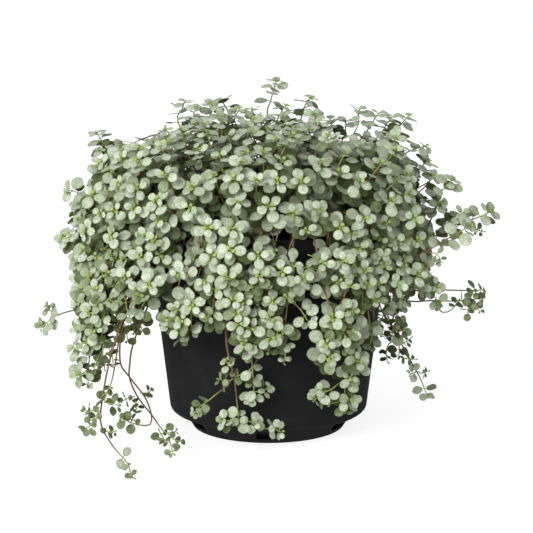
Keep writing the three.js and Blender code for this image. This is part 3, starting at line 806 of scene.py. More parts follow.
SIDE_LEAST = 38  # stems with less leafy length have no side shoots
SIDE_START = (8, 14)  # where from the tip the first side shoot stands, and where the last
SIDE_END = 76
SIDE_GAP = 15
SIDE_REACH = (6, 11)
SIDE_SIZE = (0.92, 1.12)
SIDE_TURN = 0.55
SIDE_BACK = 40  # behind this there are none
SIDE_OUT = 0.8  # where they face: outward, on the front half also to the front
SIDE_FRONT = 0.5
SIDE_SCATTER = 0.4
# The radius and height of hanging stems on their way to the rim.
RIM_PATH = [(60, SOIL_TOP - 8), (62, SOIL_TOP + 10), (79, RIM_CLEAR)]


def grow_side_shoots(node, route, rng, shade=0.0):
    """Short shoots off a hanging stem, whose rosettes face outward."""
    curve, left = measured(route)
    for gone in np.arange(rng.uniform(*SIDE_START), SIDE_END, SIDE_GAP):
        joint = point_at(curve, left, gone)
        if joint[2] > POT_HEIGHT or joint[1] > SIDE_BACK:
            break
        out = unit(joint * [1, 1, 0])
        front = FRONT * SIDE_FRONT * frontness(joint)
        facing = unit(out * SIDE_OUT + front + rng.normal(0, SIDE_SCATTER, 3))
        reach = rng.uniform(*SIDE_REACH)
        points = [joint, joint + facing * reach * 0.5 - UP, joint + facing * reach]
        if not before_window(points):
            size = rng.uniform(*SIDE_SIZE)
            dark = shade + rng.uniform(0, DARKER)
            grow(node, points, rng, reach, size=size, turn=SIDE_TURN, shade=dark)


def strand_route(degrees, points, rng):
    """Up from the soil, over the rim and along the points."""
    path = [polar(degrees, radius, height) for radius, height in RIM_PATH]
    after = polar(degrees + rng.uniform(-3, 3), *RIM_AFTER)
    points = [np.array(point, float) for point in points]
    if points[0][2] <= RIM_AFTER[1] - 6:
        path.append(after)
    return [*path, *points]


def grow_strands(rng):
    """The stems that hang over the rim. The leafy ones have side shoots and larger leaves."""
    for node, rows in STRANDS.items():
        for degrees, leafy, shade, points in rows:
            route = strand_route(degrees, points, rng)
            size = HEAD_SIZE
            if leafy > SIDE_LEAST:
                grow_side_shoots(node, route, rng, shade)
                size = TRAIL_SIZE
            sparse = STRAND_SPARSE
            grow(node, route, rng, leafy, size=size, turn=TRAIL_TURN, sparse=sparse, shade=shade)


CURTAIN_GAP = 3.7  # degrees between the stems of the curtain
CURTAIN_LEAFY = 72
CURTAIN_SPARSE = 1.25
CURTAIN_TOP = 122
CURTAIN_SPREAD = 1.2
CURTAIN_SHORT = (-1, 22)  # how much higher than the edge below they end
CURTAIN_IN = (10, 20)  # how far inside the mound's reach they hang
CURTAIN_BEND = 0.55  # where between their end and CURTAIN_TOP they bend
# How low the curtain hangs, by the angle round the pot.
CURTAIN_EDGE = [
    (0, 94), (30, 80), (60, 72), (90, 78), (120, 70), (150, 76), (180, 88), (205, 96), (213, 96),
    (228, 98), (236, 92), (239, 76), (247, 78), (254, 76), (260, 70), (270, 66), (278, 76),
    (284, 82), (290, 90), (300, 86), (304, 76), (308, 80), (320, 92), (335, 98), (360, 94),
]


def grow_curtain(rng):
    """Short stems that come over the rim all round, between the long ones."""
    names = list(STRANDS)
    roots = np.array([rows[0][0] for rows in STRANDS.values()])
    angles, edge = zip(*CURTAIN_EDGE)
    for degrees in np.arange(0, 360, CURTAIN_GAP):
        degrees = degrees + rng.uniform(-CURTAIN_SPREAD, CURTAIN_SPREAD)
        apart = np.abs((roots - degrees + 180) % 360 - 180)
        node = names[int(np.argmin(apart))]
        low = np.interp(degrees, angles, edge) + rng.uniform(*CURTAIN_SHORT)
        reach = dome_reach(math.radians(degrees)) - rng.uniform(*CURTAIN_IN)
        middle = between(low, CURTAIN_TOP, CURTAIN_BEND)
        points = [polar(degrees + rng.normal(0, 3), reach, middle + 12)]
        points.append(polar(degrees + rng.normal(0, 4), reach - 6, low))
        route = strand_route(degrees, points, rng)
        if not before_window(route[2:]):
            shade = rng.uniform(0, DARKER)
            looks = {"size": TRAIL_SIZE, "turn": TRAIL_TURN, "sparse": CURTAIN_SPARSE, "shade": shade}
            grow(node, route, rng, CURTAIN_LEAFY, **looks)
            grow_side_shoots(node, route, rng)


# ---- Leaves made ready ----

def gather_leaves():
    """The leaves as arrays, with a row for each."""
    return {key: np.array([leaf[key] for leaf in leaves]) for key in leaves[0]}


def centres(rows):
    return rows["base"] + rows["along"] * rows["length"][:, None] / 2


def close_pairs(points, reach):
    """The indices of all pairs of points that are closer than reach."""
    tree = kdtree.KDTree(len(points))
    for index, point in enumerate(points):
        tree.insert(point, index)
    tree.balance()
    found = []
    for index, point in enumerate(points):
        found += [(index, other) for _, other, _ in tree.find_range(point, reach) if other > index]
    return np.array(found).T


CROWDED = 2.3  # of two leaves whose middles are nearer than this, one is dropped
SETTLE_REACH = 7.5  # leaves farther apart than this never meet
SETTLE_ROUNDS = 8
SETTLE_SHARE = 0.2
OVERLAP = 0.85  # the share of their size at which two leaves count as one over the other
LEAF_APART = 0.8  # how far apart such leaves come to lie, and how much more at right angles
SLANT_APART = 1.4
MOST_MOVE = 2.2


def select(rows, keep):
    return {key: value[keep] for key, value in rows.items()}


def drop_crowded(rows):
    first, second = close_pairs(centres(rows), CROWDED)
    keep = np.ones(len(rows["length"]), bool)
    for one, two in zip(first, second):
        if keep[one] and keep[two]:
            keep[one if rows["age"][one] > rows["age"][two] else two] = False
    return select(rows, keep)


def settle(rows):
    """Slides leaves that would cut each other apart, along the way they face."""
    moved = np.zeros_like(rows["base"])
    first, second = close_pairs(centres(rows), SETTLE_REACH)
    half = rows["length"] / 2
    for _ in range(SETTLE_ROUNDS):
        middle = centres(rows) + moved
        one, two = rows["normal"][first], rows["normal"][second]
        agree = np.sum(one * two, axis=1)
        facing = one * np.sign(agree)[:, None] + two
        facing /= np.linalg.norm(facing, axis=1)[:, None]
        apart = middle[second] - middle[first]
        high = np.sum(apart * facing, axis=1)
        level = np.linalg.norm(apart - facing * high[:, None], axis=1)
        wanted = LEAF_APART + SLANT_APART * (1 - np.abs(agree))
        near = level < OVERLAP * (half[first] + half[second])
        push = np.where(near, wanted - np.abs(high), 0)
        push = np.clip(push, 0, None) * SETTLE_SHARE * np.where(high < 0, -1, 1)
        shift = facing * push[:, None]
        np.add.at(moved, first, -shift)
        np.add.at(moved, second, shift)
        length = np.linalg.norm(moved, axis=1)[:, None]
        moved *= np.minimum(1, MOST_MOVE / np.maximum(length, 1e-6))
    rows["base"] = rows["base"] + moved


WALL_SLOPE = (RIM_RADIUS - RIM_LIP - WALL_FOOT_RADIUS) / (POT_HEIGHT - RIM_DEPTH - FOOT_HEIGHT)
POT_CLEAR = 4.5  # how far outside the wall a leaf's middle is moved
POT_DEEP = 8  # leaves farther inside the wall than this grow inside the pot
MOST_OUT = 10
FLOOR_CLEAR = 1.6
MOST_UP = 12


def wall_radius(height):
    return WALL_FOOT_RADIUS + WALL_SLOPE * (height - FOOT_HEIGHT)


def clear_of_pot(rows):
    """Moves leaves out of the pot's wall and off the floor."""
    middle = centres(rows)
    radius = np.hypot(middle[:, 0], middle[:, 1])
    height = middle[:, 2]
    wall = np.where(height > POT_HEIGHT - RIM_DEPTH - 3, RIM_RADIUS, wall_radius(height))
    outside = (height < POT_HEIGHT + 2) & (radius > wall - POT_DEEP)
    short = np.where(outside, np.clip(wall + POT_CLEAR - radius, 0, MOST_OUT), 0)
    rows["base"][:, :2] += middle[:, :2] / radius[:, None] * short[:, None]
    steepness = np.hypot(rows["normal"][:, 0], rows["normal"][:, 1])
    lowest = height - steepness * rows["length"] / 2
    rows["base"][:, 2] += np.clip(FLOOR_CLEAR - lowest, 0, MOST_UP)


CELL = 3.0  # the cells in which the foliage is weighed
CELL_ROOM = 5  # the empty ones kept round it
COVER_STEPS = (5.0, 8.0, 11.0)  # how far from a leaf they are looked up
COVER_OPEN = 0.4  # a leaf with less foliage over it has its full colour
COVER_DARK = 1.8  # one with more is dark


def covered(rows):
    """How dark each leaf is for the leaves that lie over it, on the way to its light."""
    points = centres(rows)
    low = points.min(axis=0) - CELL_ROOM * CELL
    grid = np.zeros(((points.max(axis=0) - low) / CELL).astype(int) + CELL_ROOM + 1)
    np.add.at(grid, tuple(((points - low) / CELL).astype(int).T), rows["length"] ** 2)
    for axis in range(3):
        grid = grid / 2 + (np.roll(grid, 1, axis) + np.roll(grid, -1, axis)) / 4
    toward = np.array([light_at(point) for point in points])
    over = np.zeros(len(points))
    for step in COVER_STEPS:
        over += grid[tuple(((points + toward * step - low) / CELL).astype(int).T)] / CELL ** 2
    return np.clip((over - COVER_OPEN) / (COVER_DARK - COVER_OPEN), 0, 1)


def inside_box(rows):
    """Keeps the leaves whose middle is well inside the CAD model's box."""
    middle = centres(rows) * METRE
    low, high = (np.array(corner) for corner in cad_box)
    room = METRE
    keep = np.all((middle > low + [room, room, 0]) & (middle < high - room), axis=1)
    return select(rows, keep)


# ---- Meshes ----

CELL_EDGE = 0.04  # the free edge round each cell of a bake sheet


def make_mesh(name, points, triangles):
    """A smooth-shaded mesh object from points in millimetres."""
    mesh = bpy.data.meshes.new(name)
    mesh.vertices.add(len(points))
    mesh.vertices.foreach_set("co", (points * METRE).astype(np.float32).ravel())
    mesh.loops.add(3 * len(triangles))
    mesh.loops.foreach_set("vertex_index", triangles.astype(np.int32).ravel())
    mesh.polygons.add(len(triangles))
    mesh.polygons.foreach_set("loop_start", np.arange(len(triangles), dtype=np.int32) * 3)
    mesh.polygons.foreach_set("loop_total", np.full(len(triangles), 3, np.int32))
    mesh.update(calc_edges=True)
    mesh.shade_smooth()
    made = bpy.data.objects.new(name, mesh)
    bpy.context.scene.collection.objects.link(made)
    return made


def give_values(mesh, name, kind, domain, key, values):
    layer = mesh.attributes.new(name, kind, domain)
    layer.data.foreach_set(key, np.ascontiguousarray(values).ravel())


def give_map(mesh, name, places):
    layer = mesh.uv_layers.new(name=name)
    layer.data.foreach_set("uv", places.astype(np.float32).ravel())


def cell_places(places, cells, count):
    """Moves each 0 to 1 place into its own cell of a square sheet that holds count cells."""
    across = math.ceil(math.sqrt(count))
    corner = np.stack([cells % across, cells // across], axis=-1)
    return (corner + CELL_EDGE + (1 - 2 * CELL_EDGE) * places) / across


def leaf_form():
    """The corners of a leaf of length and width 1, and its faces: the top first, then below.

    It is a little wider towards its tip. For each corner there is also how far out it lies, from 0 in
    the middle to 1 at the rim, and its side: 1 above, -1 below.
    """
    angles = math.pi + np.arange(LEAF_SIDES) * 2 * math.pi / LEAF_SIDES
    forward = np.cos(angles)
    u = (0.5 + 0.5 * forward + LEAF_TIP * np.maximum(forward, 0) ** 6) / (1 + LEAF_TIP)
    v = 0.5 * np.sin(angles) * (0.86 + 0.28 * u) / 1.02
    rim = np.stack([u, v], axis=1)
    ring = np.array([0.5, 0]) + (rim - [0.5, 0]) * LEAF_RING
    middle = np.array([[0.5, 0.0]])
    flat = np.concatenate([rim, ring, middle, middle])
    reach = np.concatenate([np.ones(LEAF_SIDES), np.full(LEAF_SIDES, LEAF_RING), [0, 0]])
    side = np.concatenate([np.zeros(LEAF_SIDES), np.ones(LEAF_SIDES + 1), [-1]])
    top, below = [], []
    for i in range(LEAF_SIDES):
        j = (i + 1) % LEAF_SIDES
        a, b = LEAF_SIDES + i, LEAF_SIDES + j
        top += [(i, j, b), (i, b, a), (a, b, 2 * LEAF_SIDES)]
        below.append((j, i, 2 * LEAF_SIDES + 1))
    return flat, reach, side, np.array(top + below)


def leaf_mesh(name, rows, rng):
    """All the leaves of a node as one mesh, with what their material needs to know."""
    flat, reach, side, faces = leaf_form()
    count = len(rows["length"])
    across = np.cross(rows["normal"], rows["along"])
    length = rows["length"][:, None]
    width = rng.uniform(*LEAF_WIDTH, (count, 1)) * length
    cup = rng.uniform(*CUP, (count, 1)) * length
    curl = np.clip(rows["shade"], 0, 1)[:, None] * length
    bend = rng.uniform(*BEND, (count, 1)) * length + rng.uniform(0, CURL, (count, 1)) * curl
    fold = rng.uniform(*FOLD, (count, 1)) * length + rng.uniform(0, CURL, (count, 1)) * curl
    wave = rng.uniform(0, 2 * math.pi, (count, 1))
    u, v = flat[:, 0][None, :], flat[:, 1][None, :]
    round_off = 4 * ((u - 0.5) ** 2 + v ** 2)
    high = -cup * round_off - bend * u ** 2 + fold * np.abs(v)
    high = high + WAVE * length * reach * np.sin(WAVES * np.arctan2(v, u - 0.5) + wave)
    high = high + LEAF_THICK / 2 * side * (1.15 - reach ** 2)
    points = rows["base"][:, None, :] + rows["along"][:, None, :] * (u * length)[:, :, None]
    points = points + across[:, None, :] * (v * width)[:, :, None]
    points = points + rows["normal"][:, None, :] * high[:, :, None]
    corners = len(flat)
    triangles = (faces[None] + np.arange(count)[:, None, None] * corners).reshape(-1, 3)
    made = make_mesh(name, points.reshape(-1, 3), triangles)
    mesh = made.data
    tone = np.ones((count, corners, 4), np.float32)
    tone[:, :, 0] = rows["age"][:, None]
    tone[:, :, 1] = rows["tint"][:, None]
    tone[:, :, 2] = np.clip(rows["shade"], 0, 1)[:, None]
    give_values(mesh, "tone", "FLOAT_COLOR", "POINT", "color", tone)
    give_values(mesh, "reach", "FLOAT", "POINT", "value", np.tile(reach, count).astype(np.float32))
    below = np.tile(np.arange(len(faces)) >= 3 * LEAF_SIDES, count)
    give_values(mesh, "below", "FLOAT", "FACE", "value", below.astype(np.float32))
    places = np.tile((flat + [0, 0.5])[faces].reshape(-1, 2), (count, 1))
    give_map(mesh, "leaf", places)
    cells = 2 * np.repeat(np.arange(count), len(faces)) + below
    give_map(mesh, "OFBake", cell_places(places, np.repeat(cells, 3), 2 * count))
    mesh.uv_layers["leaf"].active_render = True
    edges = np.empty(2 * len(mesh.edges), np.int32)
    mesh.edges.foreach_get("vertices", edges)
    sharp = np.all(edges.reshape(-1, 2) % corners < LEAF_SIDES, axis=1)
    give_values(mesh, "sharp_edge", "BOOLEAN", "EDGE", "value", sharp)
    return made


def tube(curve, radii, sides):
    """The points and triangles of a closed tube, and each triangle corner's place on it."""
    tangents, side = curve_frames(curve)
    other = np.cross(tangents, side)
    angles = np.arange(sides) * 2 * math.pi / sides
    cos, sin = np.cos(angles)[None, :, None], np.sin(angles)[None, :, None]
    out = side[:, None] * cos + other[:, None] * sin
    points = (curve[:, None] + out * np.asarray(radii)[:, None, None]).reshape(-1, 3)
    faces, places = [], []
    rings = len(curve)
    for i in range(rings - 1):
        low, high = i / (rings - 1), (i + 1) / (rings - 1)
        for k in range(sides):
            a, b = i * sides + k, i * sides + (k + 1) % sides
            left, right = k / sides, (k + 1) / sides
            faces += [(a, b, b + sides), (a, b + sides, a + sides)]
            places += [(left, low), (right, low), (right, high)]
            places += [(left, low), (right, high), (left, high)]
    last = (rings - 1) * sides
    for k in range(1, sides - 1):
        faces += [(0, k + 1, k), (last, last + k, last + k + 1)]
        places += [(0, 0), (0.1, 0.05), (0.1, 0)]
        places += [(0, 1), (0.1, 1), (0.1, 0.95)]
    return points, np.array(faces), np.array(places)


def stem_mesh(name, node, rows):
    """The stems of a node and the stalks of its leaves as one mesh."""
    tubes = []
    for stem in stems:
        if stem["node"] == node:
            made = tube(stem["curve"], stem["radii"], STEM_SIDES)
            tubes.append((made, np.repeat(stem["age"], STEM_SIDES), stem["shade"]))
    radii = [STALK_RADIUS, STALK_RADIUS * STALK_END]
    for joint, base, along, age in zip(rows["joint"], rows["base"], rows["along"], rows["age"]):
        stalk = tube(np.array([joint, base + along * 0.5]), radii, STALK_SIDES)
        ends = [STALK_AGE + STALK_OLDER * age, STALK_AGE]
        tubes.append((stalk, np.repeat(ends, STALK_SIDES), STALK_SHADE))
    points, faces, places, ages, shades = [], [], [], [], []
    start = 0
    for index, ((corners, triangles, spots), age, shade) in enumerate(tubes):
        points.append(corners)
        faces.append(triangles + start)
        cells = np.full(len(spots), index)
        places.append(cell_places(spots, cells, len(tubes)))
        ages.append(age)
        shades.append(np.full(len(corners), shade))
        start += len(corners)
    made = make_mesh(name, np.concatenate(points), np.concatenate(faces))
    tone = np.ones((start, 4), np.float32)
    tone[:, 0] = np.concatenate(ages)
    tone[:, 2] = np.clip(np.concatenate(shades), 0, 1)
    give_values(made.data, "tone", "FLOAT_COLOR", "POINT", "color", tone)
    give_map(made.data, "along", np.concatenate(places))
    give_map(made.data, "OFBake", np.concatenate(places))
    made.data.uv_layers["along"].active_render = True
    return made


# ---- Materials ----

class Nodes:
    """A small helper that builds a node material."""

    def __init__(self, name):
        self.material = bpy.data.materials.new(name)
        self.material.use_nodes = True
        self.tree = self.material.node_tree
        self.shader = self.tree.nodes["Principled BSDF"]
        self.place = self.add("ShaderNodeTexCoord").outputs["Object"]

    def add(self, kind, inputs=None, **settings):
        node = self.tree.nodes.new(kind)
        for key, value in settings.items():
            setattr(node, key, value)
        for key, value in (inputs or {}).items():
            self.put(node.inputs[key], value)
        return node

    def put(self, socket, value):
        if isinstance(value, bpy.types.NodeSocket):
            self.tree.links.new(value, socket)
        else:
            socket.default_value = value

    def math(self, operation, *values):
        return self.add("ShaderNodeMath", dict(enumerate(values)), operation=operation).outputs[0]

    def times(self, one, two):
        return self.math("MULTIPLY", one, two)

    def plus(self, one, two):
        return self.math("ADD", one, two)

    def ramp(self, value, low, high, to_low=0.0, to_high=1.0):
        """A soft step from to_low at low to to_high at high."""
        inputs = {0: value, 1: low, 2: high, 3: to_low, 4: to_high}
        made = self.add("ShaderNodeMapRange", inputs, interpolation_type="SMOOTHSTEP")
        return made.outputs[0]

    def mix(self, share, one, two):
        """From colour one to colour two, which are this node's inputs 6 and 7."""
        made = self.add("ShaderNodeMix", data_type="RGBA")
        self.put(made.inputs[0], share)
        self.put(made.inputs[6], one)
        self.put(made.inputs[7], two)
        return made.outputs[2]

    def noise(self, vector, scale, detail=2.0):
        inputs = {"Vector": vector, "Scale": scale, "Detail": detail}
        return self.add("ShaderNodeTexNoise", inputs).outputs[0]

    def grains(self, scale):
        inputs = {"Vector": self.place, "Scale": scale}
        return self.add("ShaderNodeTexVoronoi", inputs).outputs[0]

    def attribute(self, name, output):
        made = self.add("ShaderNodeAttribute", attribute_name=name, attribute_type="GEOMETRY")
        return made.outputs[output]

    def tone(self):
        """A foliage mesh's age, tint and shade."""
        parts = self.add("ShaderNodeSeparateColor", {0: self.attribute("tone", "Color")})
        return parts.outputs[0], parts.outputs[1], parts.outputs[2]

    def bump(self, height, strength, distance):
        made = self.add("ShaderNodeBump", {"Strength": strength, "Distance": distance})
        self.put(made.inputs["Height"], height)
        self.put(self.shader.inputs["Normal"], made.outputs[0])

    def finish(self, colour, roughness, specular):
        self.put(self.shader.inputs["Base Color"], colour)
        self.put(self.shader.inputs["Roughness"], roughness)
        self.shader.inputs["Specular IOR Level"].default_value = specular
        return self.material


SILVER = (0.485, 0.55, 0.425, 1)
BRIGHT_SILVER = (0.66, 0.71, 0.59, 1)
LEAF_GREEN = (0.15, 0.225, 0.06, 1)
LIME = (0.31, 0.43, 0.11, 1)
# Painted shade, with some random dullness of the leaf's own, turns a leaf this dull silver and then
# this dark green.
DULL_AND_SHADED_SILVER = (0.155, 0.2, 0.08, 1)
DULL_AND_SHADED_GREEN = (0.068, 0.096, 0.03, 1)
UNDER_GREEN = (0.13, 0.19, 0.065, 1)
BROWNS = (0.11, 0.06, 0.025, 1), (0.26, 0.155, 0.075, 1)
SHADED_BROWN = (0.085, 0.05, 0.022, 1)
FRESH_GREENS = (0.22, 0.30, 0.07, 1), (0.34, 0.40, 0.12, 1)
POT_BLACKS = (0.0128, 0.0128, 0.0131, 1), (0.018, 0.018, 0.018, 1)
SOIL_BROWNS = (0.010, 0.006, 0.004, 1), (0.06, 0.038, 0.024, 1)
PERLITE = (0.55, 0.52, 0.47, 1)
SHADED_SOIL = (0.006, 0.005, 0.004, 1)
FLOOR_GREYS = (0.34, 0.34, 0.34, 1), (0.36, 0.36, 0.36, 1)
WHITE = (1, 1, 1, 1)
VEIN_BOW = 0.24  # how far the side veins bow away from the midrib, as a share of the leaf
SPECKLE_SCALE = 820
CLOUD_SCALE = 260
FINE_BUMP = 0.0002


def leaf_material():
    """Silver over green: the silver stops short of the edge and of the veins. Shaded leaves get
    painted shade: dull silver, then dark green.
    """
    nodes = Nodes("pilea_leaf")
    age, tint, shade = nodes.tone()
    reach = nodes.attribute("reach", "Fac")
    below = nodes.attribute("below", "Fac")
    leaf_map = nodes.add("ShaderNodeUVMap", uv_map="leaf").outputs[0]
    local = nodes.add("ShaderNodeSeparateXYZ", {0: leaf_map}).outputs
    along, aside = local[0], nodes.math("ABSOLUTE", nodes.math("SUBTRACT", local[1], 0.5))
    midrib = nodes.ramp(aside, 0.006, 0.045, 1, 0)
    bow = nodes.times(nodes.math("SINE", nodes.times(along, math.pi)), VEIN_BOW)
    vein = nodes.ramp(nodes.math("ABSOLUTE", nodes.math("SUBTRACT", aside, bow)), 0.004, 0.035, 1, 0)
    veins = nodes.math("MAXIMUM", midrib, nodes.times(vein, 0.6))
    edge = nodes.ramp(reach, 0.78, 1.0)
    speckle = nodes.ramp(nodes.grains(SPECKLE_SCALE), 0.2, 0.6, 1, 0)
    cloud = nodes.noise(nodes.place, CLOUD_SCALE)
    silver = nodes.mix(speckle, SILVER, BRIGHT_SILVER)
    silver = nodes.mix(nodes.ramp(cloud, 0.35, 0.7, 0, 0.35), silver, LEAF_GREEN)
    bare = nodes.math("MAXIMUM", nodes.times(edge, 0.55), nodes.times(veins, 0.25))
    top = nodes.mix(bare, silver, LEAF_GREEN)
    young = nodes.ramp(age, 0.0, 0.42, 1, 0)
    top = nodes.mix(young, top, LIME)
    heart = nodes.times(nodes.ramp(along, 0, 0.4, 0.7, 0), nodes.ramp(age, 0.4, 1.0, 1, 0.3))
    top = nodes.mix(heart, top, LIME)
    # Painted shade: the leaf's shade, plus at random a little dullness of its own, turns the silver
    # dull, then dark green with mottling.
    shade_and_dullness = nodes.plus(shade, nodes.ramp(tint, 0.55, 1.0, 0, 0.3))
    top = nodes.mix(nodes.ramp(shade_and_dullness, 0.0, 0.6, 0, 0.88), top, DULL_AND_SHADED_SILVER)
    mottled_shade_and_dullness = nodes.plus(shade_and_dullness, nodes.ramp(cloud, 0.3, 0.7, -0.12, 0.16))
    top = nodes.mix(nodes.ramp(mottled_shade_and_dullness, 0.35, 0.95, 0, 0.95), top, DULL_AND_SHADED_GREEN)
    under = nodes.mix(nodes.times(veins, 0.4), UNDER_GREEN, LIME)
    # Painted shade darkens the underside too.
    under = nodes.mix(nodes.times(shade, 0.8), under, DULL_AND_SHADED_GREEN)
    colour = nodes.mix(below, top, under)
    quilt = nodes.plus(nodes.times(veins, -0.5), nodes.times(cloud, 0.5))
    nodes.bump(quilt, 0.3, FINE_BUMP)
    return nodes.finish(colour, nodes.ramp(speckle, 0, 1, 0.62, 0.5), 0.3)


def stem_material():
    """Lime at the tip, tan to red brown further back, with darker patches, and a darker brown as
    painted shade on shaded stems and stalks.
    """
    nodes = Nodes("pilea_stem")
    age, _, shade = nodes.tone()
    patches = nodes.noise(nodes.place, 160)
    brown = nodes.mix(nodes.ramp(patches, 0.35, 0.65), *BROWNS)
    # Painted shade: shaded stems and the stalks are darkened towards this brown.
    brown = nodes.mix(nodes.ramp(shade, 0.1, 0.6, 0, 0.85), brown, SHADED_BROWN)
    fresh = nodes.mix(nodes.ramp(patches, 0.3, 0.7), *FRESH_GREENS)
    colour = nodes.mix(nodes.ramp(age, 0.12, 0.42), fresh, brown)
    nodes.bump(nodes.noise(nodes.place, 1500), 0.35, FINE_BUMP)
    return nodes.finish(colour, nodes.ramp(patches, 0.3, 0.7, 0.55, 0.7), 0.2)


def pot_material():
    """Black moulded plastic: satin, with fine marks down the wall and a little dust."""
    nodes = Nodes("black_pot_plastic")
    drawn_out = {"Vector": nodes.place, "Scale": (1, 1, 0.05)}
    marks = nodes.noise(nodes.add("ShaderNodeMapping", drawn_out).outputs[0], 500, 4)
    dust = nodes.noise(nodes.place, 60, 5)
    colour = nodes.mix(nodes.ramp(dust, 0.45, 0.8), *POT_BLACKS)
    nodes.bump(nodes.plus(nodes.times(marks, 0.6), nodes.noise(nodes.place, 3500)), 0.12, FINE_BUMP)
    return nodes.finish(colour, nodes.ramp(dust, 0.3, 0.7, 0.75, 0.85), 0.04)


def soil_material():
    """Dark, damp potting mix with crumbs and grains of perlite, painted near black below its top as
    shade inside the pot.
    """
    nodes = Nodes("potting_mix")
    crumbs = nodes.noise(nodes.place, 420, 6)
    colour = nodes.mix(nodes.ramp(crumbs, 0.35, 0.7), *SOIL_BROWNS)
    colour = nodes.mix(nodes.ramp(nodes.grains(300), 0.1, 0.16, 1, 0), colour, PERLITE)
    height = nodes.add("ShaderNodeSeparateXYZ", {0: nodes.place}).outputs[2]
    # Painted shade: below its top the mix is near black, as it lies in shade inside the pot.
    colour = nodes.mix(nodes.ramp(height, 0.06, 0.11, 0.95, 0), colour, SHADED_SOIL)
    nodes.bump(crumbs, 0.9, 10 * FINE_BUMP)
    return nodes.finish(colour, nodes.ramp(crumbs, 0.3, 0.7, 0.8, 0.95), 0.2)


def floor_material():
    """A pale sweep that glows a little, as a lit table does, so that shadows on it stay soft."""
    nodes = Nodes("pale_floor")
    colour = nodes.mix(nodes.noise(nodes.place, 3), *FLOOR_GREYS)
    nodes.put(nodes.shader.inputs["Emission Color"], WHITE)
    nodes.put(nodes.shader.inputs["Emission Strength"], FLOOR_GLOW)
    return nodes.finish(colour, 0.8, 0.1)


# ---- Pot, soil and stage ----

def arc(middle, radius, start, end, steps):
    """Points of a rounded edge in the turning plane, by angles in degrees."""
    angles = np.radians(np.linspace(start, end, steps))
    return [(middle[0] + radius * math.cos(a), middle[1] + radius * math.sin(a)) for a in angles]


def turned(name, profile):
    """A closed body from a profile that starts and ends on the axis."""
    inner = np.array(profile[1:-1], float)
    angles = np.arange(POT_SIDES) * 2 * math.pi / POT_SIDES
    rings = np.stack([
        inner[:, 0, None] * np.cos(angles),
        inner[:, 0, None] * np.sin(angles),
        np.repeat(inner[:, 1, None], POT_SIDES, axis=1),
    ], axis=-1).reshape(-1, 3)
    poles = np.array([[0, 0, profile[0][1]], [0, 0, profile[-1][1]]], float)
    points = np.concatenate([rings, poles])
    first, last = len(rings), len(rings) + 1
    faces = []
    for k in range(POT_SIDES):
        after = (k + 1) % POT_SIDES
        faces.append((first, after, k))
        for i in range(len(inner) - 1):
            a, b = i * POT_SIDES + k, i * POT_SIDES + after
            faces += [(a, b, b + POT_SIDES), (a, b + POT_SIDES, a + POT_SIDES)]
        top = (len(inner) - 1) * POT_SIDES
        faces.append((last, top + k, top + after))
    return make_mesh(name, points, np.array(faces))


def inner_profile(top, gap):
    """The inside of the pot up to top, or what fills it to within gap of the wall."""
    floor = WALL + 1 + gap
    return [
        (0, floor),
        (FOOT_RADIUS - WALL - gap, floor),
        (FOOT_TOP_RADIUS - WALL - gap, FOOT_HEIGHT + WALL + gap),
        (WALL_FOOT_RADIUS - WALL - gap, FOOT_HEIGHT + WALL + gap + 1),
        (wall_radius(top) - WALL - gap, top),
    ]


def make_pot():
    """The pot: a rolled rim over a band, a tapered wall, a rounded shoulder and a slotted foot."""
    shoulder = POT_HEIGHT - RIM_DEPTH
    profile = [(0, 0), (FOOT_RADIUS - 1, 0)]
    profile += arc((FOOT_RADIUS - FOOT_ROUND, FOOT_ROUND), FOOT_ROUND, -90, -20, 4)
    profile += [(FOOT_TOP_RADIUS, FOOT_HEIGHT + 0.6), (WALL_FOOT_RADIUS - 4.6, FOOT_HEIGHT - 0.6)]
    profile += arc((WALL_FOOT_RADIUS - 3.6, FOOT_HEIGHT + 3.4), SHOULDER_ROUND, -70, -6, 9)
    profile += [(wall_radius(h), h) for h in np.linspace(FOOT_HEIGHT + 6, shoulder - 1.2, 12)]
    neck = (wall_radius(shoulder) + NECK_ROUND, shoulder - NECK_ROUND)
    profile += arc(neck, NECK_ROUND, 180, 100, 4)
    profile += arc((RIM_RADIUS - BAND_ROUND, shoulder + 1.4), BAND_ROUND, -80, 0, 5)
    profile += [(RIM_RADIUS - 0.3, POT_HEIGHT - 4)]
    profile += arc((RIM_RADIUS - RIM_ROUND, POT_HEIGHT - RIM_ROUND), RIM_ROUND, -20, 120, 8)
    profile += inner_profile(POT_HEIGHT - 1.6, 0)[::-1]
    pot = turned("nursery_pot", profile)
    for degrees in np.arange(DRAINS) * 360 / DRAINS:
        spot = polar(degrees, DRAIN_CIRCLE, WALL) * METRE
        radius, depth = DRAIN_RADIUS * METRE, 4 * WALL * METRE
        bpy.ops.mesh.primitive_cylinder_add(
            vertices=DRAIN_SIDES, radius=radius, depth=depth, location=spot)
        cut_from(pot, bpy.context.object)
        degrees += 180 / DRAINS
        spot = polar(degrees, FOOT_RADIUS + 2, SLOT_MIDDLE) * METRE
        turn = (0, 0, math.radians(degrees))
        bpy.ops.mesh.primitive_cube_add(size=METRE, location=spot, rotation=turn)
        bpy.context.object.scale = SLOT_SIZE
        cut_from(pot, bpy.context.object)
    pot.data.polygons.foreach_set("use_smooth", [True] * len(pot.data.polygons))
    pot.data.set_sharp_from_angle(angle=math.radians(POT_CREASE))
    return pot


def cut_from(body, cutter):
    """Cuts the cutter out of the body and removes it."""
    bpy.context.view_layer.update()
    cut = body.modifiers.new("cut", "BOOLEAN")
    cut.operation = "DIFFERENCE"
    cut.solver = "EXACT"
    cut.object = cutter
    bpy.context.view_layer.objects.active = body
    bpy.ops.object.modifier_apply(modifier=cut.name)
    bpy.data.objects.remove(cutter, do_unlink=True)


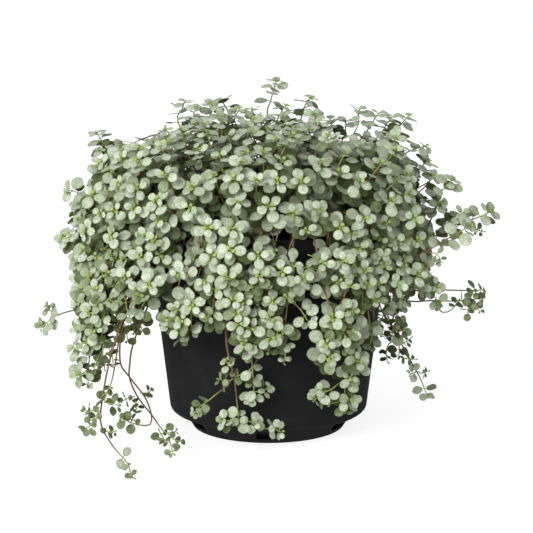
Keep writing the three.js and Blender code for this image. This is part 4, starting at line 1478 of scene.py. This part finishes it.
def make_soil():
    """Potting mix that fills the pot, with a crumbly top."""
    wall = wall_radius(SOIL_TOP) - WALL - SOIL_GAP
    top = [(radius, SOIL_TOP) for radius in np.linspace(wall, 0, SOIL_RINGS)[1:]]
    soil = turned("potting_mix_top", inner_profile(SOIL_TOP, SOIL_GAP) + top)
    rng = np.random.default_rng(5)
    knobs = rng.uniform(*KNOB_PLACES, (SOIL_KNOBS, 2))
    sizes = rng.uniform(*KNOB_RADII, SOIL_KNOBS)
    for corner in soil.data.vertices:
        x, y, z = corner.co / METRE
        if z < SOIL_TOP - 0.5 or math.hypot(x, y) > wall - 2:
            continue
        near = np.hypot(knobs[:, 0] - x, knobs[:, 1] - y) / sizes
        lump = np.max(np.clip(1 - near * near, 0, 1))
        corner.co.z = (z + SOIL_RELIEF * (lump - 0.5) + rng.uniform(-CRUMB, CRUMB)) * METRE
    return soil


def place_piece(piece, material, slot, *nodes):
    """Gives a piece its material and its place in the frame."""
    piece.data.materials.clear()
    piece.data.materials.append(material)
    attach(piece, BODY)
    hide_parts(*nodes)


def make_stage():
    """A plain pale floor, a soft light from the front and above, and an even white surround."""
    bpy.ops.mesh.primitive_plane_add(size=FLOOR_SIZE * METRE)
    floor = bpy.context.object
    floor.name = "floor"
    floor.data.materials.append(floor_material())
    for name, (place, size, power) in LIGHTS.items():
        add_light(name, place, size, power)
    world = bpy.data.worlds.new("studio")
    world.use_nodes = True
    background = world.node_tree.nodes["Background"]
    background.inputs["Color"].default_value = WHITE
    background.inputs["Strength"].default_value = SURROUND
    bpy.context.scene.world = world
    bpy.context.scene.view_settings.view_transform = "Standard"


def add_light(name, place, size, power):
    data = bpy.data.lights.new(name, "AREA")
    data.size = size * METRE
    data.energy = power
    light = bpy.data.objects.new(name, data)
    bpy.context.scene.collection.objects.link(light)
    aim(light, np.array(place, float), LIGHT_TARGET)


def aim(thing, place, target):
    """Puts a camera or light at place, looking at target."""
    back = unit(place - target)
    right = unit(np.cross(UP, back))
    up = np.cross(back, right)
    columns = [*np.stack([right, up, back], axis=1)]
    rows = [[*column, spot * METRE] for column, spot in zip(columns, place)]
    thing.matrix_world = [*zip(*[*rows, [0, 0, 0, 1]])]


def make_camera():
    """A long lens at the photo's angle."""
    data = bpy.data.cameras.new("camera")
    data.lens = CAMERA_LENS
    data.sensor_width = SENSOR
    data.clip_end = 100
    camera = bpy.data.objects.new("camera", data)
    bpy.context.scene.collection.objects.link(camera)
    aim(camera, CAMERA_TARGET + VIEW * CAMERA_DISTANCE, CAMERA_TARGET)
    bpy.context.scene.camera = camera


# ---- Assembly ----

make_camera()
make_stage()
place_piece(make_pot(), pot_material(), "pot_plastic", "pot")
place_piece(make_soil(), soil_material(), "potting_mix", "soil")

grow_mound(np.random.default_rng(21))
sprig_rng = np.random.default_rng(22)
grow_sprigs(sprig_rng)
grow_twigs(sprig_rng)
grow_strands(np.random.default_rng(23))
grow_curtain(np.random.default_rng(24))

grown = drop_crowded(gather_leaves())
grown = select(grown, ~before_windows(centres(grown)))
settle(grown)
clear_of_pot(grown)
grown = inside_box(grown)
# Painted shade: leaves with foliage over them on the way to their light are coloured darker.
grown["shade"] = grown["shade"] + covered(grown)

leaf_look = leaf_material()
stem_look = stem_material()
shape_rng = np.random.default_rng(25)
for node in sorted(set(grown["node"])):
    rows = select(grown, grown["node"] == node)
    place_piece(leaf_mesh(f"{node}_leaves", rows, shape_rng), leaf_look, "leaf", node)
    place_piece(stem_mesh(f"{node}_stems", node, rows), stem_look, "leaf", node)
